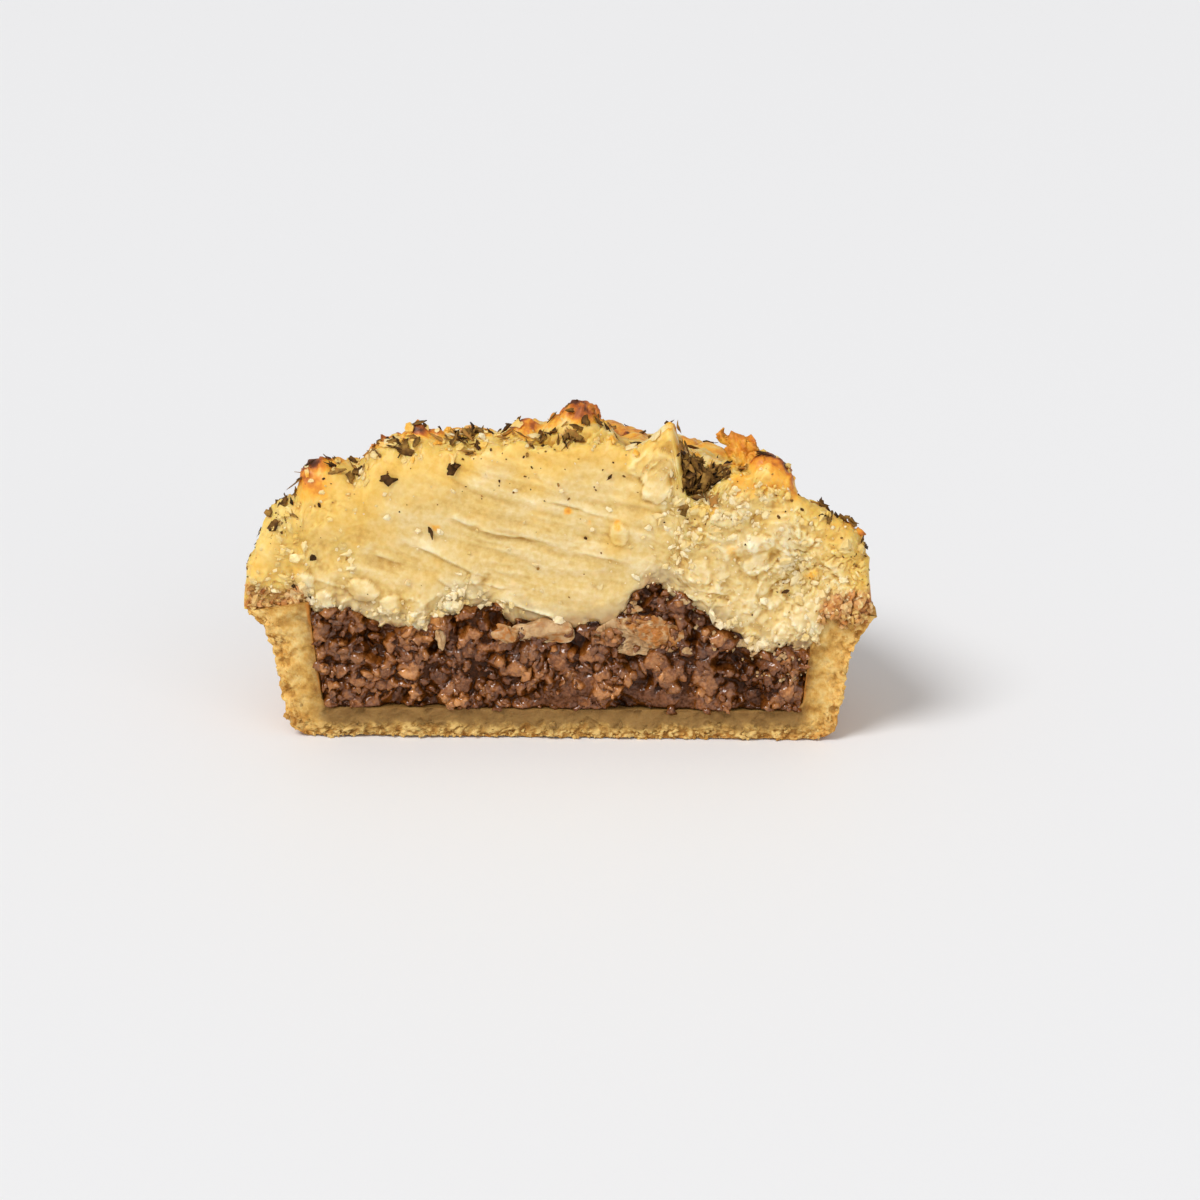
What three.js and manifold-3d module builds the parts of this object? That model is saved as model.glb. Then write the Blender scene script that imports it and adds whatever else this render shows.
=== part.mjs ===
// Half of a potato-topped steak pie, cut side forward: a shortcrust case, a minced steak filling, a browned
// mound of mashed potato with dried herbs, and two pieces of potato that lie in the filling at the cut.
// Millimetres, +Z up. The pie is made round the axis X = 0, Y = 0, with its cut on the plane Y = 0 and the
// half that is left on +Y. The finished group is then centred over the surface that it stands on.

import * as THREE from 'three';
import { ParametricGeometry } from 'three/addons/geometries/ParametricGeometry.js';
import { mergeVertices } from 'three/addons/utils/BufferGeometryUtils.js';
import Module from 'manifold-3d';

const wasm = await Module();
wasm.setup();

// Pastry case
const RIM_RADIUS = 55.6;
const FOOT_RADIUS = 48.6;
const FOOT_ROUND = 3.2;
const CASE_HEIGHT = 25.4;
const RIM_FALL = 1.4;
const CAVITY_RADIUS = 42.8;
const CAVITY_LEAN = 0.1;
const FLOOR = 5.6;
const FLARE_START = 15;

// Steak filling
const FILLING_LEVEL = 22;
const GRANULE = 2.3;
const GRANULE_RELIEF = 0.75;

// Mashed potato mound
const MOUND_RADIUS = 56.6;
const MOUND_RISE = 30.4;
const MOUND_SLOPE = 1.6;
const MOUND_SHOULDER = 0.37;
const BACK_FALL = 0.1;
const FORK_MARK = 6.5;
const FORK_RELIEF = 1.3;
const SMEAR_RELIEF = 0.5;

// Clearance between neighbouring pieces, and how deep one blank reaches into what is cut out of it
const GAP = 0.35;
const BITE = 1.5;

// Humps and hollows of the filling's top along the cut: place, rise and half width
const HUMPS = [
  { x: -40, rise: 1.5, half: 4 },
  { x: -25, rise: -2.6, half: 4 },
  { x: -15, rise: 2.7, half: 5 },
  { x: 16.5, rise: 8.6, half: 4.6 },
  { x: 23.5, rise: 4, half: 3.2 },
];
const HUMP_DEPTH = 9;
const SLUMP = { start: 27, end: 36, drop: 4.4, depth: 25 };

// Crags that the fork and the oven left along the cut: place, rise and width
const FRONT_CRAGS = [
  { x: -46, y: 5, rise: 2.4, width: 11 },
  { x: -42, y: 4, rise: 4, width: 9 },
  { x: -30.5, y: 5, rise: 5, width: 11 },
  { x: -21, y: 7, rise: 4.4, width: 12 },
  { x: -7, y: 8, rise: 3.8, width: 12 },
  { x: 2.8, y: 8.5, rise: 5.6, width: 16 },
  { x: 11.5, y: 20, rise: 4, width: 12 },
  { x: 18, y: 4, rise: 2.4, width: 11 },
  { x: 40, y: 4.5, rise: 4.6, width: 10 },
  { x: 46.5, y: 9, rise: 3, width: 10 },
];
const BACK_CRAGS = 15;

// Thin tips that stand clear of the crags: place, rise, width across and along, and lean
const TIPS = [
  { x: 2.9, y: 8.5, rise: 2.2, across: 6, along: 5, lean: 0.3 },
  { x: 18.6, y: 2.2, rise: 4, across: 8, along: 6, lean: 1.2 },
  { x: 32.6, y: 6, rise: 7.6, across: 7, along: 5, lean: -1.6 },
];

// Drifts of dried herbs on the mound: place, spread and number of flakes
const HERB_DRIFTS = [
  { x: -49, y: 3, spread: 4, count: 9 },
  { x: -40, y: 5, spread: 5, count: 8 },
  { x: -28, y: 3.5, spread: 5, count: 8 },
  { x: -13, y: 4.5, spread: 5, count: 12 },
  { x: 1, y: 3, spread: 4, count: 9 },
  { x: 25, y: 3.5, spread: 3.5, count: 14 },
  { x: 47, y: 4, spread: 5, count: 6 },
];
const BACK_FLAKES = 22;
const FLAKE = { length: 3.6, width: 1.5, thickness: 0.9 };

// Pieces of potato in the filling: middle, half sizes and turn in the plane of the cut
const SLICE = { x: -3.2, z: 20.4, half: [5.6, 5, 2], turn: -0.16, seed: 3 };
const LUMP = { x: 14.2, z: 19.9, half: [8.2, 6, 3.2], turn: 0.12, seed: 8 };

const MATERIALS = {
  crust: new THREE.MeshStandardMaterial({ color: 0xd9b36c, roughness: 0.8, metalness: 0 }),
  mince: new THREE.MeshStandardMaterial({ color: 0x7a4b30, roughness: 0.45, metalness: 0 }),
  mash: new THREE.MeshStandardMaterial({ color: 0xe9d596, roughness: 0.6, metalness: 0 }),
  potato_slice: new THREE.MeshStandardMaterial({ color: 0xdccda8, roughness: 0.5, metalness: 0 }),
  potato_lump: new THREE.MeshStandardMaterial({ color: 0xc9a877, roughness: 0.5, metalness: 0 }),
};

// Seeded noise and random draws

function lattice(ix, iy, iz) {
  const wave = Math.sin(ix * 127.1 + iy * 311.7 + iz * 74.7) * 43758.5453;
  return 2 * (wave - Math.floor(wave)) - 1;
}

// Smooth noise from -1 to 1, with features about one unit apart.
function noise(x, y, z) {
  const [fx, fy, fz] = [x, y, z].map(Math.floor);
  const [tx, ty, tz] = [x - fx, y - fy, z - fz].map((t) => t * t * (3 - 2 * t));
  const row = (j, k) => THREE.MathUtils.lerp(lattice(fx, fy + j, fz + k), lattice(fx + 1, fy + j, fz + k), tx);
  const sheet = (k) => THREE.MathUtils.lerp(row(0, k), row(1, k), ty);
  return THREE.MathUtils.lerp(sheet(0), sheet(1), tz);
}

const FIRST_DRAW = 20;
const { seededRandom } = THREE.MathUtils;
seededRandom(FIRST_DRAW);

function randomBetween(low, high) {
  return THREE.MathUtils.lerp(low, high, seededRandom());
}

// Solids: welding, joining and cutting

const WELD = 1e-3;

// The closed form of a geometry as a solid, with the triangles that shrank to nothing at a tip left out.
function solidOf(geometry) {
  const bare = geometry.clone();
  bare.deleteAttribute('normal');
  bare.deleteAttribute('uv');
  const welded = mergeVertices(bare, WELD);
  const corners = welded.index.array;
  const triVerts = [];
  for (let i = 0; i < corners.length; i += 3) {
    const [a, b, c] = corners.slice(i, i + 3);
    if (a !== b && b !== c && c !== a) triVerts.push(a, b, c);
  }
  return new wasm.Manifold(new wasm.Mesh({
    numProp: 3,
    vertProperties: welded.attributes.position.array,
    triVerts: new Uint32Array(triVerts),
  }));
}

function geometryOf(solid) {
  const mesh = solid.getMesh();
  const geometry = new THREE.BufferGeometry();
  geometry.setAttribute('position', new THREE.BufferAttribute(mesh.vertProperties, 3));
  geometry.setIndex(new THREE.BufferAttribute(mesh.triVerts, 1));
  geometry.computeVertexNormals();
  return geometry;
}

// The main body of a solid, without any loose scrap that a cut has left.
function mainBody(solid) {
  return solid.decompose().reduce((best, body) => (body.volume() > best.volume() ? body : best));
}

// Moves every vertex of a geometry by a rule that changes the point it is given.
function reshape(geometry, rule) {
  const position = geometry.attributes.position;
  const point = new THREE.Vector3();
  for (let i = 0; i < position.count; i += 1) {
    rule(point.fromBufferAttribute(position, i));
    position.setXYZ(i, point.x, point.y, point.z);
  }
  return geometry;
}

// The half of space behind a plane of constant Y, as a box larger than the pie.
function behind(y) {
  const side = 4 * RIM_RADIUS;
  return solidOf(new THREE.BoxGeometry(side, side, side).translate(0, y + side / 2, 0));
}

// A closed surface of rings that run from the right tip of the cut to its left tip. Each ring is a chain of
// stretches: at(share, turn, point) sets the point a share of the way along, on the ring at that turn. At the tips
// the rings flatten to a line, so a stretch with a fold takes only that many steps there, to meet its other side.
function ringSurface(rings, stretches) {
  const slices = stretches.reduce((sum, stretch) => sum + stretch.steps, 0);
  const place = (u, v, point) => {
    let step = u * slices;
    let k = 0;
    while (k < stretches.length - 1 && step > stretches[k].steps) {
      step -= stretches[k].steps;
      k += 1;
    }
    const { steps, fold, at } = stretches[k];
    const atTip = fold && (v === 0 || v === 1);
    const share = atTip ? Math.round((step / steps) * fold) / fold : step / steps;
    at(share, Math.PI * v, point);
  };
  return new ParametricGeometry(place, slices, rings);
}

// Pastry case

const RIM_EDGE = CASE_HEIGHT - RIM_FALL;
const WALL_LEAN = 0.16;
const FLARE = (RIM_RADIUS - FOOT_RADIUS - WALL_LEAN * RIM_EDGE) / (RIM_EDGE - FLARE_START) ** 2;

// Outer radius of the case: a nearly straight wall that flares out towards the rim.
function outerRadius(z) {
  return FOOT_RADIUS + WALL_LEAN * z + FLARE * Math.max(0, z - FLARE_START) ** 2;
}

function cavityRadius(z) {
  return CAVITY_RADIUS + CAVITY_LEAN * Math.min(z, CASE_HEIGHT);
}

const CASE_TURNS = 76;
const WALL_STEPS = 5;
const UNEVEN = 0.45;

function caseProfile() {
  const profile = new THREE.Path();
  profile.moveTo(0, 0);
  profile.lineTo(FOOT_RADIUS / 2, 0);
  profile.lineTo(FOOT_RADIUS - FOOT_ROUND, 0);
  profile.quadraticCurveTo(FOOT_RADIUS, 0, outerRadius(FOOT_ROUND), FOOT_ROUND);
  for (let i = 1; i <= WALL_STEPS; i += 1) {
    const z = THREE.MathUtils.lerp(FOOT_ROUND, RIM_EDGE, i / WALL_STEPS);
    profile.lineTo(outerRadius(z), z);
  }
  profile.lineTo(cavityRadius(CASE_HEIGHT), CASE_HEIGHT);
  profile.lineTo(cavityRadius(FILLING_LEVEL / 2), FILLING_LEVEL / 2);
  profile.lineTo(cavityRadius(FLOOR), FLOOR);
  profile.lineTo(CAVITY_RADIUS / 2, FLOOR);
  profile.lineTo(0, FLOOR);
  return profile.getPoints(3);
}

// Turns the profile round, presses the wall a little out of true, as fingers do, and cuts the round in half.
function crust() {
  const round = new THREE.LatheGeometry(caseProfile(), CASE_TURNS).rotateX(Math.PI / 2);
  const pressed = reshape(round, (p) => {
    const radius = Math.hypot(p.x, p.y);
    if (p.z < FOOT_ROUND || radius < outerRadius(p.z) - 1) return;
    const push = 1 + (UNEVEN / radius) * noise(p.x / 9 + 40, p.y / 9, p.z / 9);
    p.x *= push;
    p.y *= push;
  });
  return solidOf(pressed).intersect(behind(0));
}

// Steak filling

// Height of the filling's top: humps along the cut that die away behind it, and a slump at the right.
function fillingTop(x, y) {
  const fade = Math.exp(-((y / HUMP_DEPTH) ** 2));
  const hump = (h) => h.rise * Math.exp(-(((x - h.x) / h.half) ** 2));
  const humps = HUMPS.reduce((sum, h) => sum + hump(h), 0);
  const slump = SLUMP.drop * THREE.MathUtils.smoothstep(x, SLUMP.start, SLUMP.end);
  return FILLING_LEVEL + humps * fade - slump * Math.exp(-((y / SLUMP.depth) ** 2));
}

const FILLING_RINGS = 72;
const FACE_STEPS = 9;
const SIDE_STEPS = 3;

// The filling as a body that stops short of the case by a clearance. As a cutter its top is raised by lift, and a
// lip, in shares of the depth from the cut to the back, carries its face forward of the cut.
function fillingSurface(lift, lip) {
  const low = FLOOR + GAP;
  const set = (point, turn, depth, z) => {
    const radius = cavityRadius(z) - GAP;
    return point.set(radius * Math.cos(turn), radius * Math.sin(turn) * depth, z);
  };
  const topAt = (turn, depth, point) => {
    set(point, turn, depth, FILLING_LEVEL);
    const z = fillingTop(point.x, Math.max(0, point.y)) + lift;
    return set(point, turn, depth, z);
  };
  const column = (share, turn, depth, point) => {
    const top = topAt(turn, depth, point).z;
    set(point, turn, depth, THREE.MathUtils.lerp(low, top, share));
  };
  const surface = ringSurface(FILLING_RINGS, [
    { steps: FACE_STEPS, fold: SIDE_STEPS, at: (share, turn, point) => column(share, turn, -lip, point) },
    { steps: 1, at: (share, turn, point) => topAt(turn, lip * (share - 1), point) },
    { steps: 4, at: (share, turn, point) => topAt(turn, share, point) },
    { steps: SIDE_STEPS, at: (share, turn, point) => column(1 - share, turn, 1, point) },
    { steps: 1, at: (share, turn, point) => set(point, turn, 1 - share * (1 + lip), low) },
  ]);
  return reshape(surface, (p) => {
    if (p.y < WELD) p.y -= GRANULE_RELIEF * noise(p.x / GRANULE, 7, p.z / GRANULE);
  });
}

// Pieces of potato in the filling

// A rough egg shape across the cut, its half sizes larger by the clearance when it is the pocket for a piece.
function potatoPiece({ x, z, half, turn, seed }, clearance) {
  const egg = new THREE.SphereGeometry(1, 16, 9);
  const [across, deep, high] = half.map((size) => size + clearance);
  reshape(egg, (p) => {
    p.multiplyScalar(1 + 0.12 * noise(p.x * 1.7 + seed, p.y * 1.7, p.z * 1.7));
    p.set(p.x * across, p.y * deep, p.z * high);
  });
  return solidOf(egg.rotateY(turn).translate(x, 0, z));
}

// Mashed potato mound

const MOUND_FOOT = RIM_EDGE + GAP;

// Even scatter of places over the back of the mound, each turned on by the golden angle from the last.
function backPlaces(count, nearest) {
  const golden = Math.PI * (3 - Math.sqrt(5));
  const places = [];
  for (let i = 0; places.length < count; i += 1) {
    const radius = 0.86 * MOUND_RADIUS * Math.sqrt((i + 0.5) / (2.6 * count));
    const angle = i * golden;
    const [x, y] = [radius * Math.cos(angle), radius * Math.sin(angle)];
    if (y > nearest) places.push({ x, y });
  }
  return places;
}

const backCrag = ({ x, y }) => ({ x, y, rise: randomBetween(2, 4.5), width: randomBetween(9, 14) });
const ALL_CRAGS = [...FRONT_CRAGS, ...backPlaces(BACK_CRAGS, 13).map(backCrag)];

// Height of the mound: a full dome, a little lower at the back, with its crags and the lumps that a fork leaves.
function moundTop(x, y) {
  const reach = Math.min(1, Math.hypot(x, y) / MOUND_RADIUS);
  const dome = (1 - reach ** MOUND_SLOPE) ** MOUND_SHOULDER;
  const crag = (c) => c.rise * Math.exp(-(((2.2 * Math.hypot(x - c.x, y - c.y)) / c.width) ** 1.5));
  const crags = ALL_CRAGS.reduce((sum, c) => sum + crag(c), 0);
  const fork = noise(x / FORK_MARK, y / FORK_MARK, 3.3) + 0.5 * noise((3 * x) / FORK_MARK, (3 * y) / FORK_MARK, 9);
  const relief = (crags + FORK_RELIEF * fork) * Math.min(1, 2 * dome);
  return MOUND_FOOT + MOUND_RISE * dome * (1 - (BACK_FALL * y) / MOUND_RADIUS) + relief;
}

const MOUND_RINGS = 76;
const PLUG_STEPS = 1;
const SEAT_STEPS = 1;

// The mound with the plug of potato under it that fills the case down to the steak.
function moundSurface() {
  const { lerp } = THREE.MathUtils;
  const polar = (point, radius, turn, depth, z) => {
    return point.set(radius * Math.cos(turn), radius * Math.sin(turn) * depth, z);
  };
  const plugRadius = (z) => cavityRadius(z) - GAP;
  const shoulder = plugRadius(CASE_HEIGHT);
  const plugFoot = (turn, depth, point) => {
    polar(point, plugRadius(FILLING_LEVEL), turn, depth, 0);
    return fillingTop(point.x, point.y) - BITE;
  };
  const plug = (share, turn, depth, point) => {
    const foot = plugFoot(turn, depth, point);
    const z = lerp(foot, Math.max(CASE_HEIGHT + GAP, foot + BITE + 1), share);
    polar(point, plugRadius(z), turn, depth, z);
  };
  const face = (share, turn, point) => {
    plug(1, turn, 0, point);
    const top = moundTop(MOUND_RADIUS * Math.cos(turn), 0);
    polar(point, lerp(shoulder, MOUND_RADIUS, share), turn, 0, lerp(point.z, top, share));
  };
  const dome = (share, turn, point) => {
    polar(point, MOUND_RADIUS, turn, Math.sin((share ** 1.3 * Math.PI) / 2), 0);
    point.z = moundTop(point.x, point.y);
  };
  const seat = (share, turn, point) => {
    polar(point, lerp(MOUND_RADIUS, shoulder, share), turn, 1, lerp(MOUND_FOOT, CASE_HEIGHT + GAP, share));
  };
  const underside = (share, turn, point) => {
    const z = plugFoot(turn, 1 - share, point);
    polar(point, plugRadius(z), turn, 1 - share, z);
  };
  const surface = ringSurface(MOUND_RINGS, [
    { steps: PLUG_STEPS, at: (share, turn, point) => plug(share, turn, 0, point) },
    { steps: 6, fold: SEAT_STEPS, at: face },
    { steps: 19, at: dome },
    { steps: SEAT_STEPS, at: seat },
    { steps: PLUG_STEPS, at: (share, turn, point) => plug(1 - share, turn, 1, point) },
    { steps: 1, at: underside },
  ]);
  return reshape(surface, (p) => {
    if (p.y < WELD) p.y -= SMEAR_RELIEF * noise(p.x / 5 + p.z / 9, 11, p.z / 2.6);
  });
}

// A tip: a rough lump that narrows upwards, sunk into the mound and leaning over at its top.
function tip({ x, y, rise, across, along, lean }) {
  const sink = 0.3 * across;
  const lump = new THREE.IcosahedronGeometry(1, 1).rotateY(0.55);
  reshape(lump, (p) => {
    const up = Math.max(0, p.z);
    const rough = 1 + 0.24 * noise(1.7 * p.x + x, 1.7 * p.y + y, 1.7 * p.z);
    const narrow = rough * (1 - 0.5 * up);
    p.set((p.x * narrow * across) / 2 + lean * up * up, (p.y * narrow * along) / 2, p.z * (rise + sink));
  });
  return solidOf(lump.translate(x, y, moundTop(x, y) - sink));
}

// A flake of dried herb lying on the mound: a thin lozenge, half sunk and tilted at random.
function flake(x, y) {
  const size = randomBetween(0.7, 1.2);
  const lozenge = new THREE.OctahedronGeometry(0.5);
  lozenge.scale(FLAKE.length * size, FLAKE.width * size, FLAKE.thickness);
  const slope = Math.atan2(moundTop(x, y + 1) - moundTop(x, y - 1), 2);
  const fall = Math.atan2(moundTop(x + 1, y) - moundTop(x - 1, y), 2);
  lozenge.rotateZ(randomBetween(0, Math.PI)).rotateX(slope + randomBetween(-0.3, 0.3)).rotateY(-fall);
  return solidOf(lozenge.translate(x, y, moundTop(x, y) + 0.2));
}

// The flakes of every drift in front, then an even scatter over the back.
function herbFlakes() {
  const flakes = [];
  const reach = 0.93 * MOUND_RADIUS;
  for (const drift of HERB_DRIFTS) {
    for (let i = 0; i < drift.count; i += 1) {
      const x = drift.x + drift.spread * randomBetween(-1, 1);
      const y = Math.max(1.5, drift.y + drift.spread * randomBetween(-1, 1));
      if (Math.hypot(x, y) < reach) flakes.push(flake(x, y));
    }
  }
  backPlaces(BACK_FLAKES, 10).forEach(({ x, y }) => {
    flakes.push(flake(x + randomBetween(-3, 3), y + randomBetween(-3, 3)));
  });
  return flakes;
}

// The mound with its tips and flakes, its underside cut to clear the filling and the potato pieces.
function mash(pockets) {
  const toppings = wasm.Manifold.union([...TIPS.map(tip), ...herbFlakes()]).intersect(behind(0));
  const mound = solidOf(moundSurface()).add(toppings);
  const filling = solidOf(fillingSurface(GAP, 0.05));
  return wasm.Manifold.difference([mound, filling, ...pockets]);
}

// The finished piece

function halfPie() {
  const pockets = [SLICE, LUMP].map((piece) => potatoPiece(piece, GAP));
  const face = behind(-GRANULE_RELIEF);
  const solids = {
    crust: crust(),
    mince: wasm.Manifold.difference([solidOf(fillingSurface(0, 0)), ...pockets]),
    mash: mash(pockets),
    potato_slice: potatoPiece(SLICE, 0).intersect(face),
    potato_lump: potatoPiece(LUMP, 0).intersect(face),
  };
  const pieces = Object.entries(solids).map(([name, solid]) => ({ name, geometry: geometryOf(solid) }));
  const box = new THREE.Box3();
  pieces.forEach(({ geometry }) => box.expandByObject(new THREE.Mesh(geometry)));
  const middle = box.getCenter(new THREE.Vector3());
  const pie = new THREE.Group();
  for (const { name, geometry } of pieces) {
    // Welded once more in its last place, so that a sliver left by the cuts closes up and can be dropped.
    const body = mainBody(solidOf(geometry.translate(-middle.x, -middle.y, -box.min.z)));
    const mesh = new THREE.Mesh(geometryOf(body), MATERIALS[name]);
    mesh.name = name;
    pie.add(mesh);
  }
  return pie;
}

export default halfPie();
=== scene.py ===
# %% [markdown]
# # Half of a potato-topped steak pie
# The pie was cut through its middle, and the cut face is what the viewer sees: a shortcrust case, a dark
# minced steak filling, and a tall mound of mashed potato with browned crags and dried herbs on top. Every
# piece below is a surface worked out with numpy as whole arrays of points, so that its relief, its colour
# values and its place come from the same few formulas. The solids of the part come first, as a fixed
# frame that gives every size.

import bpy
import numpy as np
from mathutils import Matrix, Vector


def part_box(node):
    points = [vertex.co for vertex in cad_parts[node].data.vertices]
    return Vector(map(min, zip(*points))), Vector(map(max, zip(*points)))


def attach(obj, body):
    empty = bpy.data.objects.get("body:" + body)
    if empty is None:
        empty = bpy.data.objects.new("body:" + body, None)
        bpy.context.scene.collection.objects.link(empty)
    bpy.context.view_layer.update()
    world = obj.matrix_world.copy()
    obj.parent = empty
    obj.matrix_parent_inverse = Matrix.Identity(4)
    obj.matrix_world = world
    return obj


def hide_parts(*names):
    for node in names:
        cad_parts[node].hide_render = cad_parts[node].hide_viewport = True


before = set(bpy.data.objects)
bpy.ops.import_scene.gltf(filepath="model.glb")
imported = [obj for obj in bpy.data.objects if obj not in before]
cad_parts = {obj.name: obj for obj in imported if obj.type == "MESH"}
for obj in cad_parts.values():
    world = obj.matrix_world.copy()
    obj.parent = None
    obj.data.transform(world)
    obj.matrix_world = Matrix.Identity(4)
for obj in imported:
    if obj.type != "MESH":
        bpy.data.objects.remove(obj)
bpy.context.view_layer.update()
print("solids:", sorted(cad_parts))

# %% [markdown]
# ## Measures
# The solids say how large the pie is. It is easiest to think in millimetres round the pie's own axis,
# with the cut on the plane y = 0 and the half that is left behind it, so the formulas work there and one
# function carries the finished points into Blender's metres.

# %% Measures from the solids, in millimetres round the pie's axis
MM = 0.001


def box_mm(solid):
    """Lowest and highest corner of a solid, in millimetres."""
    low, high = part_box(solid)
    return np.array(low) / MM, np.array(high) / MM


# What the boxes don't show: the gap between two solids, the fall of the rim outwards, the mound's rise and
# the share of it that is lost towards the back, and the level of the filling
GAP = 0.35
RIM_FALL = 1.4
MOUND_RISE = 30.4
BACK_FALL = 0.2
FILLING_LEVEL = 22.0
case_low, case_high = box_mm("crust")
mound_low, mound_high = box_mm("mash")
steak_low, steak_high = box_mm("mince")
AXIS = np.array([(case_low[0] + case_high[0]) / 2, case_low[1], 0.0])
RIM_RADIUS = (case_high[0] - case_low[0]) / 2
CASE_HEIGHT = case_high[2]
RIM_EDGE = CASE_HEIGHT - RIM_FALL
FLOOR = steak_low[2] - GAP
CAVITY = (steak_high[0] - steak_low[0]) / 2 + GAP
MOUND_RADIUS = (mound_high[0] - mound_low[0]) / 2
MOUND_FOOT = RIM_EDGE + GAP
print(f"rim radius {RIM_RADIUS:.1f}, case {CASE_HEIGHT:.1f} high, cavity {CAVITY:.1f} mm")

# %% [markdown]
# ## Noise
# Food has no straight lines. Three kinds of noise give nearly all of its relief: smooth noise for slow
# swells, rough noise (smooth noise added up at ever finer spacing) for torn surfaces, and a cell pattern
# for anything made of separate grains or flakes. Blender has such textures for materials, but as numpy
# functions they can also move the points of a mesh, and the same numbers can then drive the colour.

# %% Smooth noise
ONE_POINT = np.array([1.0, 2.0, 3.0])
TURN = np.array([[0.36, 0.48, -0.80], [-0.80, 0.60, 0.00], [0.48, 0.64, 0.60]])
CORNERS = np.array([[i, j, k] for i in (0, 1) for j in (0, 1) for k in (0, 1)])


def lattice(corner, seed):
    """One fixed random number from 0 to 1 for each whole-number corner: its numbers are mixed bit by
    bit."""
    mixed = corner[..., 0] * 374761393 + corner[..., 1] * 668265263 + corner[..., 2] * 1440662683
    mixed = (mixed + seed * 1274126177) & 0xFFFFFFFF
    mixed = ((mixed ^ (mixed >> 13)) * 1274126177) & 0xFFFFFFFF
    mixed = ((mixed ^ (mixed >> 15)) * 668265263) & 0xFFFFFFFF
    return (mixed ^ (mixed >> 16)) / 0xFFFFFFFF


def noise(points, size, seed):
    """Smooth noise from -1 to 1: random numbers on a lattice of that size, blended by an S-shaped weight.
    The lattice is turned askew, so that its rows never line up with the cut."""
    scaled = np.asarray(points) @ TURN / size
    cell = np.floor(scaled).astype(np.int64)
    part = scaled - cell
    part = part * part * part * (part * (part * 6 - 15) + 10)
    total = np.zeros(scaled.shape[:-1])
    for corner in CORNERS:
        weight = np.prod(np.where(corner == 1, part, 1 - part), axis=-1)
        total += weight * lattice(cell + corner, seed)
    return 2 * total - 1


print("smooth noise at one point:", noise(ONE_POINT, 2.0, 1).round(3))

# %% Rough noise and bent places


def rough(points, size, seed, layers=4, gain=0.5):
    """Rough noise: layers of smooth noise, each at half the size and gain times the strength of the
    last."""
    return sum(gain**k * noise(points, size / 2**k, seed + k) for k in range(layers))


def bent(points, size, depth, seed):
    """The same points, each moved up to that depth along x, y and z by rough noise of that size."""
    return points + depth * np.stack([rough(points, size, seed + 3 * k, 2) for k in range(3)], -1)


print("rough noise at one point:", rough(ONE_POINT, 2.0, 1).round(3))

# %% Cell pattern
NEIGHBOURS = np.array([[i, j, k] for i in (-1, 0, 1) for j in (-1, 0, 1) for k in (-1, 0, 1)])


def cells(points, size, seed):
    """Cell pattern: one random seed point in every lattice cell. Gives the distance to the nearest one
    and to the second nearest, the way to the nearest, and three random numbers that belong to it, in cell
    sizes."""
    scaled = np.asarray(points) @ TURN / size
    cell = np.floor(scaled).astype(np.int64)
    best = np.full(scaled.shape[:-1], 9.0)
    second = best.copy()
    way = np.zeros(scaled.shape)
    owner = np.zeros(cell.shape, np.int64)
    for step in NEIGHBOURS:
        corner = cell + step
        seat = corner + np.stack([lattice(corner, seed + k) for k in range(3)], axis=-1)
        toward = seat - scaled
        distance = np.linalg.norm(toward, axis=-1)
        closer = distance < best
        second = np.where(closer, best, np.minimum(second, distance))
        best = np.where(closer, distance, best)
        way = np.where(closer[..., None], toward, way)
        owner = np.where(closer[..., None], corner, owner)
    picks = np.stack([lattice(owner, seed + 10 + k) for k in range(3)], axis=-1)
    return best, second, way, picks


print("distance to the nearest seed of a cell:", cells(ONE_POINT, 2.0, 1)[0].round(3))

# %% Smooth step


def smooth_step(low, high, value):
    """S-shaped rise from 0 at low to 1 at high."""
    part = np.clip((value - low) / (high - low), 0, 1)
    return part * part * (3 - 2 * part)


print("smooth step at a quarter:", smooth_step(0, 1, 0.25))

# %% [markdown]
# ## From arrays to mesh objects
# A grid of points becomes a mesh by joining neighbours with triangles. Grids that meet along an edge are
# closed by welding points that fall on the same place, which also closes the tips where a grid shrinks to
# a point. Values for the materials, such as how brown a spot is, travel with the points as named
# attributes. Faces could also be added one by one, but handing whole arrays to the mesh is far quicker.

# %% Triangles and normals of a grid


def grid_faces(rows, columns, closed=False):
    """Two triangles for each cell of a grid of points. A closed grid also joins its last row to its
    first."""
    index = np.arange(rows * columns).reshape(rows, columns)
    if closed:
        index = np.vstack([index, index[:1]])
    a, b, c, d = index[:-1, :-1], index[:-1, 1:], index[1:, 1:], index[1:, :-1]
    halves = [np.stack([a, b, c], -1), np.stack([a, c, d], -1)]
    return np.concatenate([half.reshape(-1, 3) for half in halves])


def unit(vectors):
    """The same vectors, each at length 1."""
    return vectors / np.maximum(np.linalg.norm(vectors, axis=-1, keepdims=True), 1e-9)


def grid_normals(points):
    """Unit normals of a grid of points: the cross product of the steps along its rows and its columns."""
    along = np.gradient(points, axis=1)
    across = np.gradient(points, axis=0)
    return unit(np.cross(along, across))


print("triangles of a grid of 3 by 4 points:", len(grid_faces(3, 4)))

# %% Welding
WELD = 1e-3


def welded(points, faces, values):
    """Merges points on the same place, drops faces that shrink to nothing and turns the faces
    outwards."""
    key = np.round(points / WELD).astype(np.int64)
    _, first, merged = np.unique(key, axis=0, return_index=True, return_inverse=True)
    faces = merged.reshape(-1)[faces]
    corner_a, corner_b, corner_c = faces.T
    faces = faces[(corner_a != corner_b) & (corner_b != corner_c) & (corner_c != corner_a)]
    points = points[first]
    volume = np.einsum("ij,ij->", points[faces[:, 0]], np.cross(points[faces[:, 1]], points[faces[:, 2]]))
    if volume < 0:
        faces = faces[:, ::-1]
    return points, faces, {name: value[first] for name, value in values.items()}


print("points are welded within", WELD, "mm")

# %% Mesh objects that ride on the part


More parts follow.
